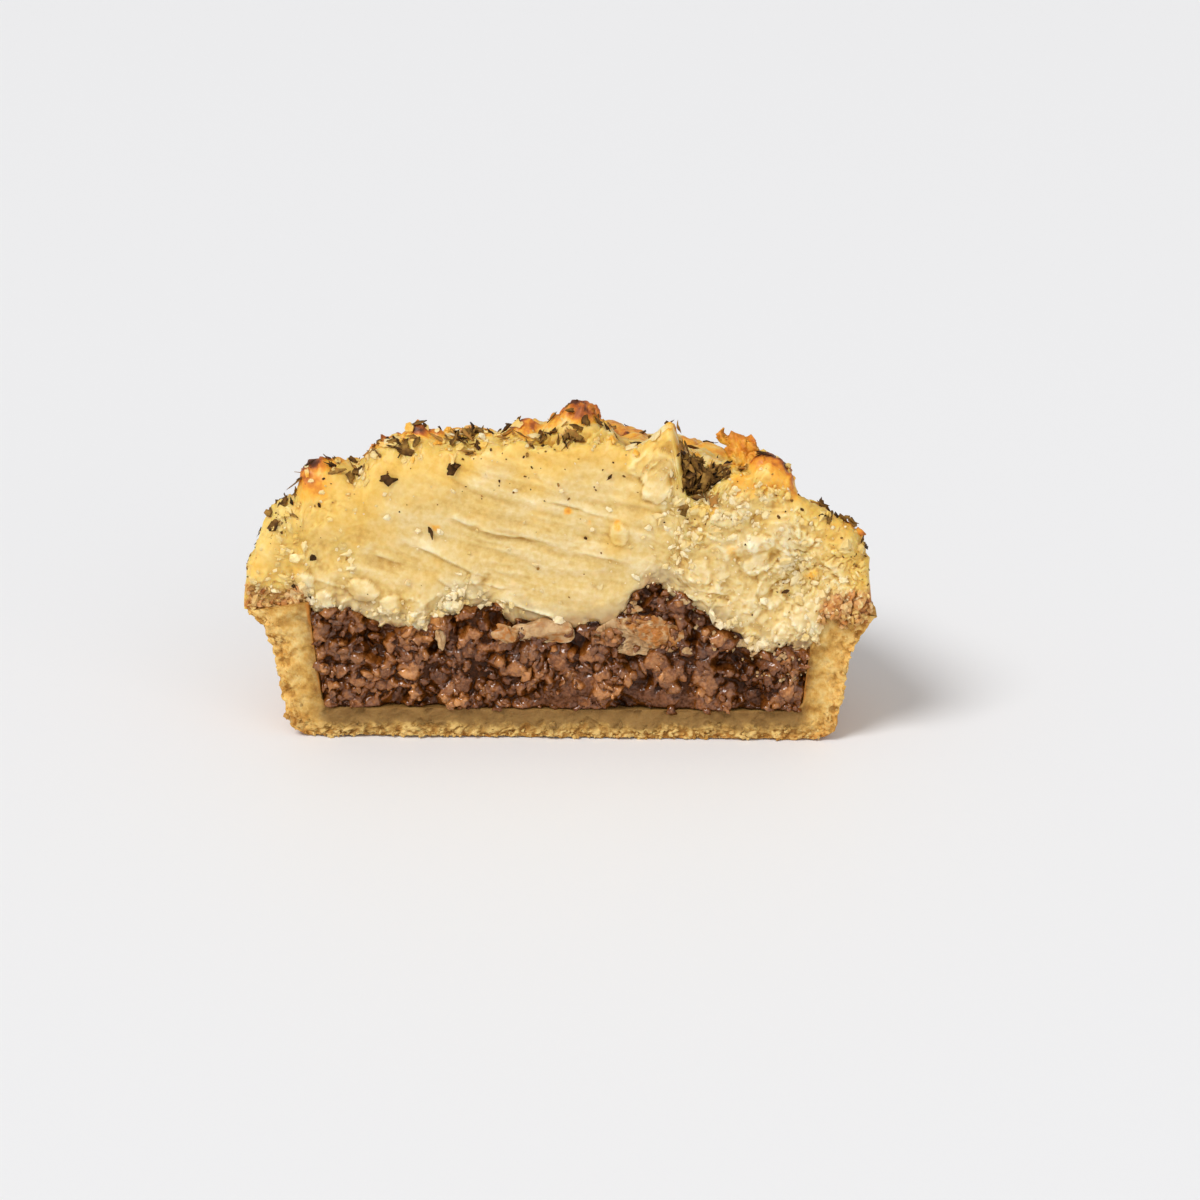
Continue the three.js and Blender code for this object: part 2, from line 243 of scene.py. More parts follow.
def make_piece(name, points, faces, material, slot, stands_for=(), smooth=True, **values):
    """Makes a mesh object from points in pie millimetres: it rides on the part and shows the given
    material. Faces that aren't smooth keep their edges, as on a broken crumb."""
    values = {key: np.asarray(value).reshape(-1) for key, value in values.items()}
    points, faces, values = welded(points.reshape(-1, 3), faces, values)
    mesh = bpy.data.meshes.new(name)
    mesh.vertices.add(len(points))
    mesh.vertices.foreach_set("co", ((points + AXIS) * MM).astype(np.float32).ravel())
    mesh.loops.add(faces.size)
    mesh.loops.foreach_set("vertex_index", faces.astype(np.int32).ravel())
    mesh.polygons.add(len(faces))
    mesh.polygons.foreach_set("loop_start", np.arange(0, faces.size, 3, dtype=np.int32))
    mesh.polygons.foreach_set("use_smooth", np.full(len(faces), smooth))
    mesh.update(calc_edges=True)
    for key, value in values.items():
        attribute = mesh.attributes.new(key, "FLOAT", "POINT")
        attribute.data.foreach_set("value", value.astype(np.float32))
    mesh.materials.append(material)
    piece = bpy.data.objects.new(name, mesh)
    bpy.context.scene.collection.objects.link(piece)
    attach(piece, "root")
    if stands_for:
        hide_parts(*stands_for)
    print(f"{name}: {len(points)} points, {len(faces)} triangles")


# %% [markdown]
# ## Scattering small things
# Herb flakes, crumbs and grains are one small shape each, repeated with its own size, turn and dents. A
# repeated shape has few faces, because there are hundreds of it. Each copy is laid on a point of the
# surface that carries it and turned to that surface's normal, so that it lies there seen from any side.
# Geometry nodes can scatter copies too, but laid out as arrays every copy can have dents of its own.

# %% A ball as a grid


def ball_grid(around, along):
    """A unit ball as a grid: rings of points from one pole to the other, the last point of a ring on its
    first."""
    turn = np.linspace(0, 2 * np.pi, around + 1)
    rise = np.linspace(0, np.pi, along + 1)[:, None]
    ball = np.stack([np.sin(rise) * np.cos(turn), np.sin(rise) * np.sin(turn), np.cos(rise) + 0 * turn], -1)
    ball[:, -1] = ball[:, 0]
    return ball


print("grid of a small ball:", ball_grid(7, 5).shape)

# %% Copies of a small shape on a surface


def lay(shape, places, normals, sizes, random, sink=0.3, turned=True):
    """Copies of a shape on a surface. shape is points for one copy or for each, in its own x, y and z;
    sizes scales those, z goes along the normal, and sink lowers each copy by that share of its height.
    Each copy is turned about the normal by an angle of its own, or else lies level."""
    helper = np.where(np.abs(normals[:, 2:]) < 0.8, [0.0, 0.0, 1.0], [1.0, 0.0, 0.0])
    side = unit(np.cross(helper, normals))
    spin = random.uniform(0, 2 * np.pi, len(places))[:, None] * turned
    x_way = np.cos(spin) * side + np.sin(spin) * np.cross(normals, side)
    ways = np.stack([x_way, np.cross(normals, x_way), normals], axis=1)
    scaled = shape.reshape(-1, *shape.shape[-2:]) * sizes[:, None, :]
    lift = (1 - 2 * sink) * sizes[:, None, 2:] * normals[:, None, :]
    return np.einsum("nkj,nji->nki", scaled, ways) + places[:, None, :] + lift


def copies_faces(faces, points_each, copies):
    """Faces of all copies: those of one, moved on by its number of points for each further copy."""
    return (faces[None] + points_each * np.arange(copies)[:, None, None]).reshape(-1, 3)


def dented(shape, copies, depth, random, size=0.9):
    """The same shape with dents of its own for each copy: rough noise read at a different place moves its
    points."""
    spots = shape[None] + random.uniform(0, 500, (copies, 1, 3))
    return shape[None] * (1 + depth * rough(spots, size, 5, 2)[..., None])


print("triangles of three copies of a square:", len(copies_faces(grid_faces(2, 2), 4, 3)))

# %% [markdown]
# ## Materials
# A finish is a Principled shader whose colour, roughness and bump are read from the piece's own
# attributes and from noise on Object coordinates. A short helper adds a node and wires it in one line,
# which keeps each finish readable as a recipe. Painted images would have to be unwrapped and stored, and
# would be too coarse for a close look.

# %% Nodes and shaders


def node(tree, kind, inputs=None, **settings):
    """Adds a shader node: settings are its properties, inputs maps a socket to a value or to another's
    output."""
    made = tree.nodes.new("ShaderNode" + kind)
    for key, value in settings.items():
        setattr(made, key, value)
    for key, value in (inputs or {}).items():
        if isinstance(value, bpy.types.NodeSocket):
            tree.links.new(value, made.inputs[key])
        else:
            made.inputs[key].default_value = value
    return made


def new_finish(name, **sockets):
    """A material with one Principled shader. Values that are the same all over are set on its own
    sockets."""
    material = bpy.data.materials.new(name)
    material.use_nodes = True
    tree = material.node_tree
    shader = tree.nodes["Principled BSDF"]
    for key, value in sockets.items():
        shader.inputs[key.replace("_", " ").title().replace("Ior", "IOR")].default_value = value
    return material, tree, shader


print("materials before the first finish:", len(bpy.data.materials))

# %% Values in a finish: attributes, noise and ranges


def value_of(tree, name):
    """The piece's own attribute of that name."""
    return node(tree, "Attribute", attribute_name=name).outputs["Fac"]


def speckle(tree, size_mm, detail=3.0, strength=0.55):
    """Noise on Object coordinates with features of about that size, from 0 to 1."""
    spot = node(tree, "TexCoord").outputs["Object"]
    inputs = {"Vector": spot, "Scale": 1 / (size_mm * MM), "Detail": detail, "Roughness": strength}
    return node(tree, "TexNoise", inputs).outputs["Fac"]


def ranged(tree, value, low, high, to_low=0.0, to_high=1.0):
    """Carries a value from one range to another, clamped."""
    inputs = {"Value": value, "From Min": low, "From Max": high, "To Min": to_low, "To Max": to_high}
    return node(tree, "MapRange", inputs, interpolation_type="SMOOTHSTEP").outputs["Result"]


def maths(tree, operation, first, second):
    """Two values joined by one operation, such as ADD or MULTIPLY."""
    return node(tree, "Math", {0: first, 1: second}, operation=operation).outputs[0]


def uneven(tree, name, spots, spread):
    """The attribute of that name, made higher or lower by up to spread where the given noise is high or
    low."""
    return maths(tree, "ADD", value_of(tree, name), ranged(tree, spots, 0.3, 0.7, -spread, spread))


print("noise scale for features of a millimetre:", 1 / MM)

# %% Colour, roughness and bump of a finish


def mixed(tree, share, first, second, blend="MIX"):
    """Mixes two colours by a share from 0 to 1."""
    inputs = {0: share, 6: first, 7: second}
    return node(tree, "Mix", inputs, data_type="RGBA", blend_type=blend).outputs[2]


def ramped(tree, value, stops):
    """Colours along a value: stops are (position, (red, green, blue))."""
    ramp = node(tree, "ValToRGB", {"Fac": value})
    for position, _ in stops[1:-1]:
        ramp.color_ramp.elements.new(position)
    for element, (position, colour) in zip(ramp.color_ramp.elements, stops):
        element.position = position
        element.color = (*colour, 1)
    return ramp.outputs["Color"]


def rgb(red, green, blue):
    """A colour socket's value."""
    return (red, green, blue, 1.0)


def painted(tree, shader, colour, spots, smoothest, roughest):
    """Wires a colour into the shader, and a roughness that goes from one value to the other with noise."""
    tree.links.new(colour, shader.inputs["Base Color"])
    tree.links.new(ranged(tree, spots, 0.3, 0.7, smoothest, roughest), shader.inputs["Roughness"])


def bumped(tree, shader, height, depth_mm, strength, socket="Normal"):
    """Small relief for the light alone: a height from 0 to 1 that stands for that many millimetres."""
    inputs = {"Height": height, "Distance": depth_mm * MM, "Strength": strength}
    tree.links.new(node(tree, "Bump", inputs).outputs["Normal"], shader.inputs[socket])


print("a colour for a socket:", rgb(0.5, 0.25, 0.1))

# %% [markdown]
# ## Mashed potato, the finish
# On the cut the potato is pale cream, more yellow towards the baked edge. Light sinks into it, and on
# top of that its colour carries painted shade and painted light: a crease is painted a deeper golden,
# as painted shade, and whatever stands out is painted nearly white, as painted light. One attribute
# carries that from 0 in a crease to 1 on a crumb. The oven turned the crags golden, then orange,
# red-brown and nearly black at the tips, and the attribute browned carries that range. Noise alone
# could mix these colours, but browning has to follow the crags, so it comes with the points, and noise
# only breaks up the steps.

# %% Finish of the mashed potato
# Ramps by how raised a spot is: painted shade in creases, painted light on what stands out
CREAM_SHADED_AND_LIT = [
    (0.0, (0.50, 0.24, 0.025)), (0.4, (0.72, 0.505, 0.17)),
    (0.7, (0.81, 0.645, 0.345)), (1.0, (0.91, 0.80, 0.54)),
]
BAKED_SHADED_AND_LIT = [
    (0.0, (0.52, 0.24, 0.022)), (0.4, (0.78, 0.485, 0.095)),
    (0.7, (0.84, 0.585, 0.175)), (1.0, (0.92, 0.75, 0.39)),
]
GRAVY_STAIN_SHADED_AND_LIT = [
    (0.2, (0.20, 0.056, 0.009)), (0.5, (0.50, 0.19, 0.038)), (0.85, (0.71, 0.35, 0.12)),
]
TOASTED = [
    (0.0, (0.84, 0.53, 0.10)), (0.35, (0.87, 0.43, 0.045)), (0.58, (0.70, 0.235, 0.018)),
    (0.78, (0.42, 0.105, 0.014)), (1.0, (0.11, 0.028, 0.007)),
]


def mash_look(name, sinks_in):
    """Cream, yellow, stained and toasted potato by the attributes of the points. sinks_in is the share of
    the light that goes into it: much for the mound, little for crumbs, which are smaller than the way
    light takes in it."""
    material, tree, shader = new_finish(
        name, subsurface_weight=sinks_in, subsurface_radius=(1.0, 0.66, 0.3), subsurface_scale=0.003,
        specular_ior_level=0.4,
    )
    fine = speckle(tree, 0.9, 4)
    # Painted shade and light: creases a deeper golden, what stands out paler, by how raised a spot is
    raised = uneven(tree, "raised", fine, 0.1)
    baked = uneven(tree, "baked", speckle(tree, 6, 2), 0.25)
    pale, yellow = ramped(tree, raised, CREAM_SHADED_AND_LIT), ramped(tree, raised, BAKED_SHADED_AND_LIT)
    cream = mixed(tree, ranged(tree, baked, 0.0, 1.0), pale, yellow)
    # Darker, duller potato near the filling: partly damp, partly painted shade
    damp = maths(tree, "MULTIPLY", value_of(tree, "damp"), ranged(tree, speckle(tree, 2.2, 4), 0.25, 0.55))
    cream = mixed(tree, damp, cream, rgb(0.50, 0.365, 0.185))
    stain = maths(tree, "MULTIPLY", value_of(tree, "stained"), ranged(tree, speckle(tree, 1.6), 0.28, 0.5))
    cream = mixed(tree, stain, cream, ramped(tree, raised, GRAVY_STAIN_SHADED_AND_LIT))
    toast = uneven(tree, "browned", speckle(tree, 1.8, 5), 0.16)
    colour = mixed(tree, ranged(tree, toast, 0.08, 0.38), cream, ramped(tree, toast, TOASTED))
    painted(tree, shader, colour, fine, 0.34, 0.56)
    bumped(tree, shader, speckle(tree, 1.1, 4), 0.3, 0.25)
    return material


mash_finish = mash_look("mashed potato", 0.55)
crumb_finish = mash_look("potato crumbs", 0.1)
print("finishes:", mash_finish.name, "and", crumb_finish.name)

# %% [markdown]
# ## Minced steak, the finish
# Cooked mince is a heap of grains about two millimetres wide, each a slightly different brown, with dark
# gravy in the hollows between them and a wet gloss. The hollows are painted darker still, nearly black,
# as painted shade, and the foremost grains light tan, as painted light. Depth and shade are attributes
# of the points, so the colour follows the very grains that the relief makes; shade is a tone that
# differs from grain to grain. The gloss is a clear coat with ripples of its own, which break the light
# up into small glints.

# %% Finish of the minced steak
steak_finish, tree, shader = new_finish(
    "minced steak in gravy", subsurface_weight=0.12, subsurface_radius=(1.0, 0.4, 0.2),
    subsurface_scale=0.0015, specular_ior_level=0.06, coat_roughness=0.05, coat_ior=1.7,
)
grain = speckle(tree, 0.6, 4)
depth = uneven(tree, "depth", grain, 0.12)
tree.links.new(ranged(tree, depth, 0.25, 0.6, 0.1, 0.65), shader.inputs["Coat Weight"])
# Colours along depth: nearly black in hollows as painted shade, light tan on foremost grains as painted
# light
meat_shaded_and_lit = ramped(
    tree,
    depth,
    [
        (0.0, (0.015, 0.004, 0.0004)),
        (0.3, (0.060, 0.015, 0.001)),
        (0.6, (0.17, 0.048, 0.006)),
        (1.0, (0.46, 0.19, 0.055)),
    ],
)
tint = ramped(
    tree,
    value_of(tree, "shade"),
    [(0.0, (0.55, 0.5, 0.48)), (0.5, (1.0, 1.0, 1.0)), (1.0, (1.45, 1.55, 1.7))],
)
painted(tree, shader, mixed(tree, 1.0, meat_shaded_and_lit, tint, "MULTIPLY"), grain, 0.25, 0.45)
bumped(tree, shader, speckle(tree, 0.45, 4), 0.2, 0.4)
bumped(tree, shader, speckle(tree, 1.1, 2), 0.3, 0.5, "Coat Normal")
print("finish:", steak_finish.name)

# %% [markdown]
# ## Shortcrust, the finish
# Next to the filling the pastry stays damp and doughy, a dull beige. The bottom crust is painted darkest,
# partly for its damp dough and partly as painted shade low on the pie.
# Outwards it turns sandy and golden, and the corners and the outer skin are browned. The attribute layer
# runs from 0 at the filling to 1 at the outside, and bottom is 1 in the bottom crust and 0 in the wall.
# Both come with the points, because a texture doesn't know how deep in the wall a spot lies.

# %% Finish of the pastry
pastry_finish, tree, shader = new_finish(
    "shortcrust pastry", subsurface_weight=0.15, subsurface_radius=(1.0, 0.6, 0.3), subsurface_scale=0.002,
    specular_ior_level=0.25,
)
sand = speckle(tree, 0.8, 4)
layer = uneven(tree, "layer", speckle(tree, 2.5), 0.12)
wall = ramped(
    tree,
    layer,
    [
        (0.0, (0.38, 0.20, 0.048)),
        (0.25, (0.56, 0.32, 0.075)),
        (0.7, (0.70, 0.41, 0.105)),
        (1.0, (0.74, 0.39, 0.08)),
    ],
)
# Bottom crust colours, darker than the wall's: damp dough and painted shade low on the pie
bottom = ramped(
    tree,
    layer,
    [
        (0.0, (0.21, 0.105, 0.026)),
        (0.48, (0.29, 0.16, 0.044)),
        (0.6, (0.46, 0.265, 0.07)),
        (1.0, (0.46, 0.22, 0.04)),
    ],
)
mottle = ramped(
    tree,
    speckle(tree, 2.2, 5, 0.65),
    [(0.34, (0.70, 0.57, 0.37)), (0.5, (1.0, 1.0, 1.0)), (0.66, (1.16, 1.40, 2.1))],
)
mottled = ranged(tree, value_of(tree, "browned"), 0.2, 0.6, 1.0, 0.45)
wall = mixed(tree, mottled, wall, mottle, "MULTIPLY")
dough = mixed(tree, value_of(tree, "bottom"), wall, bottom)
dry_wall = ranged(tree, layer, 0.45, 1.0, 0.0, 0.7)
dry_base = maths(tree, "MULTIPLY", ranged(tree, layer, 0.45, 0.75), value_of(tree, "bottom"))
dry = maths(tree, "MAXIMUM", dry_wall, dry_base)
# Painted light and shade on the dry sandy relief: golden where it stands out, dark brown in its hollows
high = maths(tree, "MULTIPLY", ranged(tree, value_of(tree, "raised"), 0.52, 0.8, 0.0, 0.7), dry)
deep = maths(tree, "MULTIPLY", ranged(tree, value_of(tree, "raised"), 0.2, 0.46, 0.75, 0.0), dry)
dough = mixed(tree, high, dough, rgb(0.84, 0.58, 0.21))
dough = mixed(tree, deep, dough, rgb(0.30, 0.125, 0.02))
scorch = uneven(tree, "browned", speckle(tree, 3.2, 6), 0.18)
dough = mixed(tree, ranged(tree, scorch, 0.2, 1.0), dough, rgb(0.46, 0.17, 0.022))
painted(tree, shader, dough, sand, 0.6, 0.8)
bumped(tree, shader, speckle(tree, 0.5, 5), 0.4, 0.6)
print("finish:", pastry_finish.name)

# %% [markdown]
# ## Herbs and potato pieces, the finishes
# Dried herbs are brittle and matt, from near black through brown to olive, and each flake has its own
# tone. As an attribute, the tone gives hundreds of different flakes with one material. The potato pieces
# in the filling are cooked through: pale, damp and a little glassy, with browned patches.

# %% Finish of the herbs
herb_finish, tree, shader = new_finish("dried herbs", specular_ior_level=0.12)
tone = uneven(tree, "tone", speckle(tree, 0.7), 0.12)
leaf_colour = ramped(
    tree,
    tone,
    [
        (0.0, (0.020, 0.012, 0.006)),
        (0.35, (0.080, 0.034, 0.008)),
        (0.6, (0.185, 0.086, 0.018)),
        (0.82, (0.33, 0.178, 0.038)),
        (1.0, (0.45, 0.20, 0.045)),
    ],
)
painted(tree, shader, leaf_colour, speckle(tree, 0.5), 0.5, 0.75)
print("finish:", herb_finish.name)

# %% Finish of the potato pieces
potato_finish, tree, shader = new_finish(
    "cooked potato", subsurface_weight=0.35, subsurface_radius=(1.0, 0.7, 0.4), subsurface_scale=0.002,
    specular_ior_level=0.3, coat_weight=0.1, coat_roughness=0.25,
)
glassy = ranged(tree, speckle(tree, 2.0), 0.35, 0.65)
flesh = mixed(tree, glassy, rgb(0.40, 0.215, 0.085), rgb(0.62, 0.405, 0.20))
tan = uneven(tree, "browned", speckle(tree, 1.2, 4), 0.4)
flesh = mixed(tree, ranged(tree, tan, 0.2, 0.8), flesh, rgb(0.43, 0.155, 0.023))
painted(tree, shader, flesh, speckle(tree, 1.0), 0.35, 0.55)
bumped(tree, shader, speckle(tree, 0.6, 4), 0.25, 0.4)
print("finish:", potato_finish.name)

# %% [markdown]
# ## Where filling and potato meet
# The top of the filling is uneven: humps and hollows along the cut, and a slump at the right. The same
# function shapes the mince from above and the potato from below. On the cut both run a little past that
# line while they sink back from the viewer, so their relief alone decides which one shows, and the seam
# comes out torn, not drawn.

# %% Top of the filling
HUMPS = [(-40, 1.5, 4), (-25, -2.6, 4), (-15, 2.7, 5), (16.0, 7.6, 4.4), (22.5, 3.6, 3.4)]


def cavity_radius(z):
    """Inner radius of the pastry case, which opens by a tenth of the height."""
    return CAVITY + 0.1 * (np.minimum(z, CASE_HEIGHT) - FILLING_LEVEL)


def filling_top(x, y):
    """Filling level plus bell-shaped humps (place, rise, half width) that fade behind the cut, less the
    slump."""
    humps = sum(rise * np.exp(-(((x - place) / half) ** 2)) for place, rise, half in HUMPS)
    slump = 4.4 * smooth_step(27, 36, x) * np.exp(-((y / 25) ** 2))
    return FILLING_LEVEL + humps * np.exp(-((y / 9) ** 2)) - slump


print("filling in the middle of the cut:", filling_top(0.0, 0.0).round(1), "mm")

# %% Underside of the potato


def rim_line(radius):
    """Height at which the potato lies on the rim: straight from the rim's inner edge to the foot of the
    mound."""
    return CASE_HEIGHT + (MOUND_FOOT - CASE_HEIGHT) * (radius - CAVITY) / (MOUND_RADIUS - CAVITY)


def potato_under(x, y):
    """Underside of the potato: the top of the filling, then up the case's wall and out along the rim."""
    radius = np.hypot(x, y)
    on_rim = smooth_step(CAVITY - 0.8, CAVITY + 0.4, radius)
    return filling_top(x, y) + (rim_line(radius) - filling_top(x, y)) * on_rim


print("potato lies on the rim at:", potato_under(CAVITY + 2, 0.0).round(1), "mm")

# %% Smooth mound


def mound_height(x, y):
    """Smooth mound: foot + rise * (1 - reach ** 1.6) ** 0.37, with reach the share of its radius from the
    axis. The rise is less towards the back, and less again behind the cut at the right."""
    reach = np.clip(np.hypot(x, y) / MOUND_RADIUS, 0, 1)
    right_fall = 0.34 * np.minimum(y, 14) * smooth_step(22, 44, x)
    rise = MOUND_RISE * (1 - BACK_FALL * y / MOUND_RADIUS) - right_fall
    return MOUND_FOOT + rise * (1 - reach**1.6) ** 0.37


print("mound in the middle of the cut:", mound_height(0.0, 0.0).round(1), "mm")

# %% [markdown]
# ## Crags on the mound
# A fork roughed up the potato before it was baked, and it dried into crags. Each crag in front is a hill
# with its own place, rise and half widths, so that it can be a gentle slope on one side and a cliff on
# the other, and one hollow lies at the cut where herbs gathered. They could be sculpted by hand, but in a
# list each one can be moved or raised by changing one number. Bending the places by noise before the
# hills are worked out gives them torn outlines in place of round ones.

# %% Crags in front and at the back
CRAGS = [
    # place x and y, rise, half width to the left, to the right and along the depth, steepness
    (-50.5, 3.0, 2.6, 3.0, 5.0, 4.0, 2.0),
    (-43.8, 5.0, 4.6, 2.0, 6.0, 4.0, 3.0),
    (-37.0, 8.0, 2.2, 3.0, 3.0, 3.0, 2.0),
    (-31.5, 6.0, 5.0, 2.2, 6.0, 4.0, 3.4),
    (-24.5, 7.0, 4.2, 2.0, 4.5, 4.0, 2.6),
    (-19.0, 7.0, 2.6, 2.5, 4.0, 4.0, 2.0),
    (-13.5, 7.0, 1.6, 3.0, 3.0, 3.0, 2.0),
    (-6.8, 8.5, 3.2, 2.8, 3.2, 3.6, 2.6),
    (2.8, 8.8, 7.4, 5.0, 5.0, 5.0, 2.4),
    (11.3, 20.0, 0.6, 3.0, 3.0, 4.0, 2.2),
    (11.5, 5.0, -1.6, 4.0, 3.0, 4.0, 2.0),
    (19.9, 2.6, 6.4, 5.0, 0.8, 3.0, 1.3),
    (23.6, 0.8, -5.0, 3.0, 4.4, 4.6, 3.0),
    (32.4, 6.0, 1.6, 3.5, 3.5, 3.5, 2.0),
    (37.6, 4.6, 4.4, 4.6, 3.4, 4.2, 5.0),
    (46.5, 8.0, 1.0, 3.0, 3.0, 3.0, 2.0),
    (52.0, 4.5, 1.6, 2.6, 2.6, 2.6, 2.0),
]
GOLDEN_ANGLE = np.pi * (3 - np.sqrt(5))


def back_crags(count=15):
    """Crags over the back of the mound, placed by the golden angle, with rise and widths drawn by
    seed."""
    random = np.random.default_rng(4)
    step = np.arange(3 * count)
    radius = 0.86 * MOUND_RADIUS * np.sqrt((step + 0.5) / (2.6 * count))
    spots = np.stack([radius * np.cos(step * GOLDEN_ANGLE), radius * np.sin(step * GOLDEN_ANGLE)], -1)
    spots = spots[spots[:, 1] > 15][:count]
    return [(x, y, *random.uniform([1, 2.5, 2.5, 3, 1.8], [2.4, 6, 6, 6, 2.6])) for x, y in spots]


ALL_CRAGS = CRAGS + back_crags()
print("crags:", len(ALL_CRAGS))

# %% Finished top of the mound


def crag_height(x, y):
    """Sum of rise * exp(-distance ** steepness), with the distance in half widths, places bent by noise
    and hills torn by it."""
    x, y = np.broadcast_arrays(x, y)
    spots = np.stack([x, y, 0 * x], -1)
    moved = bent(spots, 3.6, 0.8, 65)
    hills = 0
    for crag_x, crag_y, rise, left, right, depth, steepness in ALL_CRAGS:
        along = moved[..., 0] - crag_x
        distance = np.hypot(along / np.where(along < 0, left, right), (moved[..., 1] - crag_y) / depth)
        hills = hills + rise * np.exp(-(distance**steepness))
    return hills * (1 + 0.16 * rough(spots, 3.0, 77, 2))


def top_height(x, y):
    """Smooth mound plus crags, which fade out towards its foot."""
    smooth = mound_height(x, y)
    return smooth + crag_height(x, y) * np.minimum(1, (smooth - MOUND_FOOT) / 9)


print("top of the tallest peak:", top_height(2.8, 8.8).round(1), "mm")

# %% [markdown]
# ## Relief of the potato
# On the cut, the knife dragged the soft potato into long faint streaks that fall to the right, with a
# sharp lip here and there, and left a few lumps standing out. At the right and along the filling it broke
# into curds instead. The top is torn into baked lumps. Each of these is a height in millimetres over the
# smooth form, so they can simply be added up.

# %% Knife streaks
ON_CUT = np.array([40.0, 0.0, 32.0])


def streaks(spots):
    """Knife streaks: faint rough noise drawn out six times along lines that fall to the right, in
    patches."""
    x, z = spots[..., 0], spots[..., 2]
    across = z + (0.18 + 0.008 * (z - 30)) * x + 1.6 * noise(spots, 15, 31)
    drawn = np.stack([0.16 * x, 0 * x, across], -1)
    patches = 0.45 + 0.75 * smooth_step(-0.4, 0.4, noise(spots, 9, 35))
    return 0.33 * patches * rough(drawn, 3.0, 34, 5, 0.6)


print("streaks at one place:", streaks(ON_CUT).round(2), "mm")

# %% Lips that the knife left
LIPS = [
    # start x and z, end x and z, depth, reach above the lip and below it
    (-20.0, 41.8, -13.6, 39.8, 0.45, 2.0, 0.8),
    (-15.4, 39.6, -3.8, 37.2, 0.75, 2.5, 1.3),
    (-26.5, 36.9, -12.0, 29.6, 0.65, 2.6, 1.2),
    (-33.5, 34.4, -28.0, 32.6, 0.45, 1.6, 0.8),
    (-22.5, 30.0, -17.9, 27.2, 0.55, 1.6, 0.9),
    (-19.2, 29.6, -7.8, 28.0, 0.55, 1.6, 1.0),
    (-11.5, 25.9, 2.0, 21.6, 1.0, 1.8, 0.9),
    (2.8, 35.4, 12.4, 33.2, 0.45, 2.0, 1.0),
    (-3.0, 45.0, 9.0, 42.4, 0.55, 2.6, 1.6),
    (-44.0, 29.6, -37.5, 27.8, 0.6, 1.6, 0.8),
    (24.0, 39.0, 31.0, 37.6, 0.6, 1.8, 0.9),
    (33.0, 33.4, 41.0, 30.8, 0.6, 1.8, 0.9),
]


def lips(spots):
    """Lips that the knife left: the cut comes forward down to a line and falls back sharply under it,
    both dying away exponentially from the line, and along it towards its ends."""
    moved = bent(spots, 4.0, 0.45, 131)
    total = 0
    for start_x, start_z, end_x, end_z, depth, above, below in LIPS:
        length = np.hypot(end_x - start_x, end_z - start_z)
        along_x, along_z = (end_x - start_x) / length, (end_z - start_z) / length
        x, z = moved[..., 0] - start_x, moved[..., 2] - start_z
        along = (x * along_x + z * along_z) / length
        over = z * along_x - x * along_z
        forward = np.exp(-np.maximum(over, 0) / above)
        behind = -0.35 * np.exp(np.minimum(over, 0) / below)
        lip = behind + (forward - behind) * smooth_step(-0.3, 0.3, over)
        total = total + depth * lip * smooth_step(-0.05, 0.25, along) * smooth_step(1.1, 0.65, along)
    return total


print("lips:", len(LIPS))

# %% Lumps that stand out of the cut
CHUNKS = [
    # middle x and z, half width and half height, depth
    (16.0, 52.0, 4.6, 2.6, 0.8),
    (16.6, 48.3, 2.5, 3.2, 1.0),
    (10.0, 38.7, 1.5, 2.4, 0.55),
    (28.6, 42.6, 2.6, 1.8, 0.6),
    (35.2, 37.6, 2.6, 1.6, 0.6),
    (-35.6, 28.0, 3.0, 1.9, 0.8),
    (-42.2, 25.8, 2.2, 1.8, 0.8),
    (-30.4, 25.4, 2.0, 1.6, 0.8),
    (-37.6, 24.6, 1.7, 1.4, 0.7),
    (-45.6, 29.4, 2.0, 1.3, 0.6),
    (-25.6, 22.4, 1.8, 1.6, 0.7),
    (-19.6, 24.8, 1.8, 1.2, 0.7),
]


def chunks(spots):
    """Lumps that stand out of the cut: depth * (1 - |x| ** 3 - |z| ** 3) ** 0.35, with places bent by
    noise."""
    moved = bent(spots, 2.2, 0.6, 141)
    total = 0
    for middle_x, middle_z, half_x, half_z, depth in CHUNKS:
        x, z = np.abs(moved[..., 0] - middle_x) / half_x, np.abs(moved[..., 2] - middle_z) / half_z
        total = np.maximum(total, depth * np.maximum(0, 1 - x**3 - z**3) ** 0.35)
    return total


print("lumps on the cut:", len(CHUNKS))

# %% Curds, rounded lumps and ledges


def curds(spots, size, seed):
    """Broken curds: every cell is a small slab with its own height and tilt, parted from the next by a
    cleft."""
    near, second, way, picks = cells(bent(spots, 0.9 * size, 0.4 * size, seed), size, seed)
    angle = 2 * np.pi * picks[..., 1]
    tilt = np.cos(angle) * way[..., 0] + np.sin(angle) * way[..., 2]
    return picks[..., 0] - 0.5 + 0.8 * tilt - 0.3 * np.exp(-(((second - near) / 0.15) ** 2))


def lumps(spots, size, seed):
    """Rounded lumps: the front of a ball in every cell of a bent cell pattern, from -0.5 to 0.5."""
    near, *_ = cells(bent(spots, size, 0.35 * size, seed), size, seed)
    return np.sqrt(np.maximum(0, 1 - near**2)) - 0.5


def ledges(spots, size, seed):
    """Torn ledges: rough noise cut into steps, flat over most of a step and steep at its end."""
    steps_each = 2.6
    level = steps_each * rough(spots, size, seed, 4, 0.42)
    return (np.floor(level) + smooth_step(0.6, 0.95, level - np.floor(level))) / steps_each


print("curds and ledges at one place:", curds(ON_CUT, 1.5, 54).round(2), ledges(ON_CUT, 8.0, 53).round(2))

# %% Where the potato broke


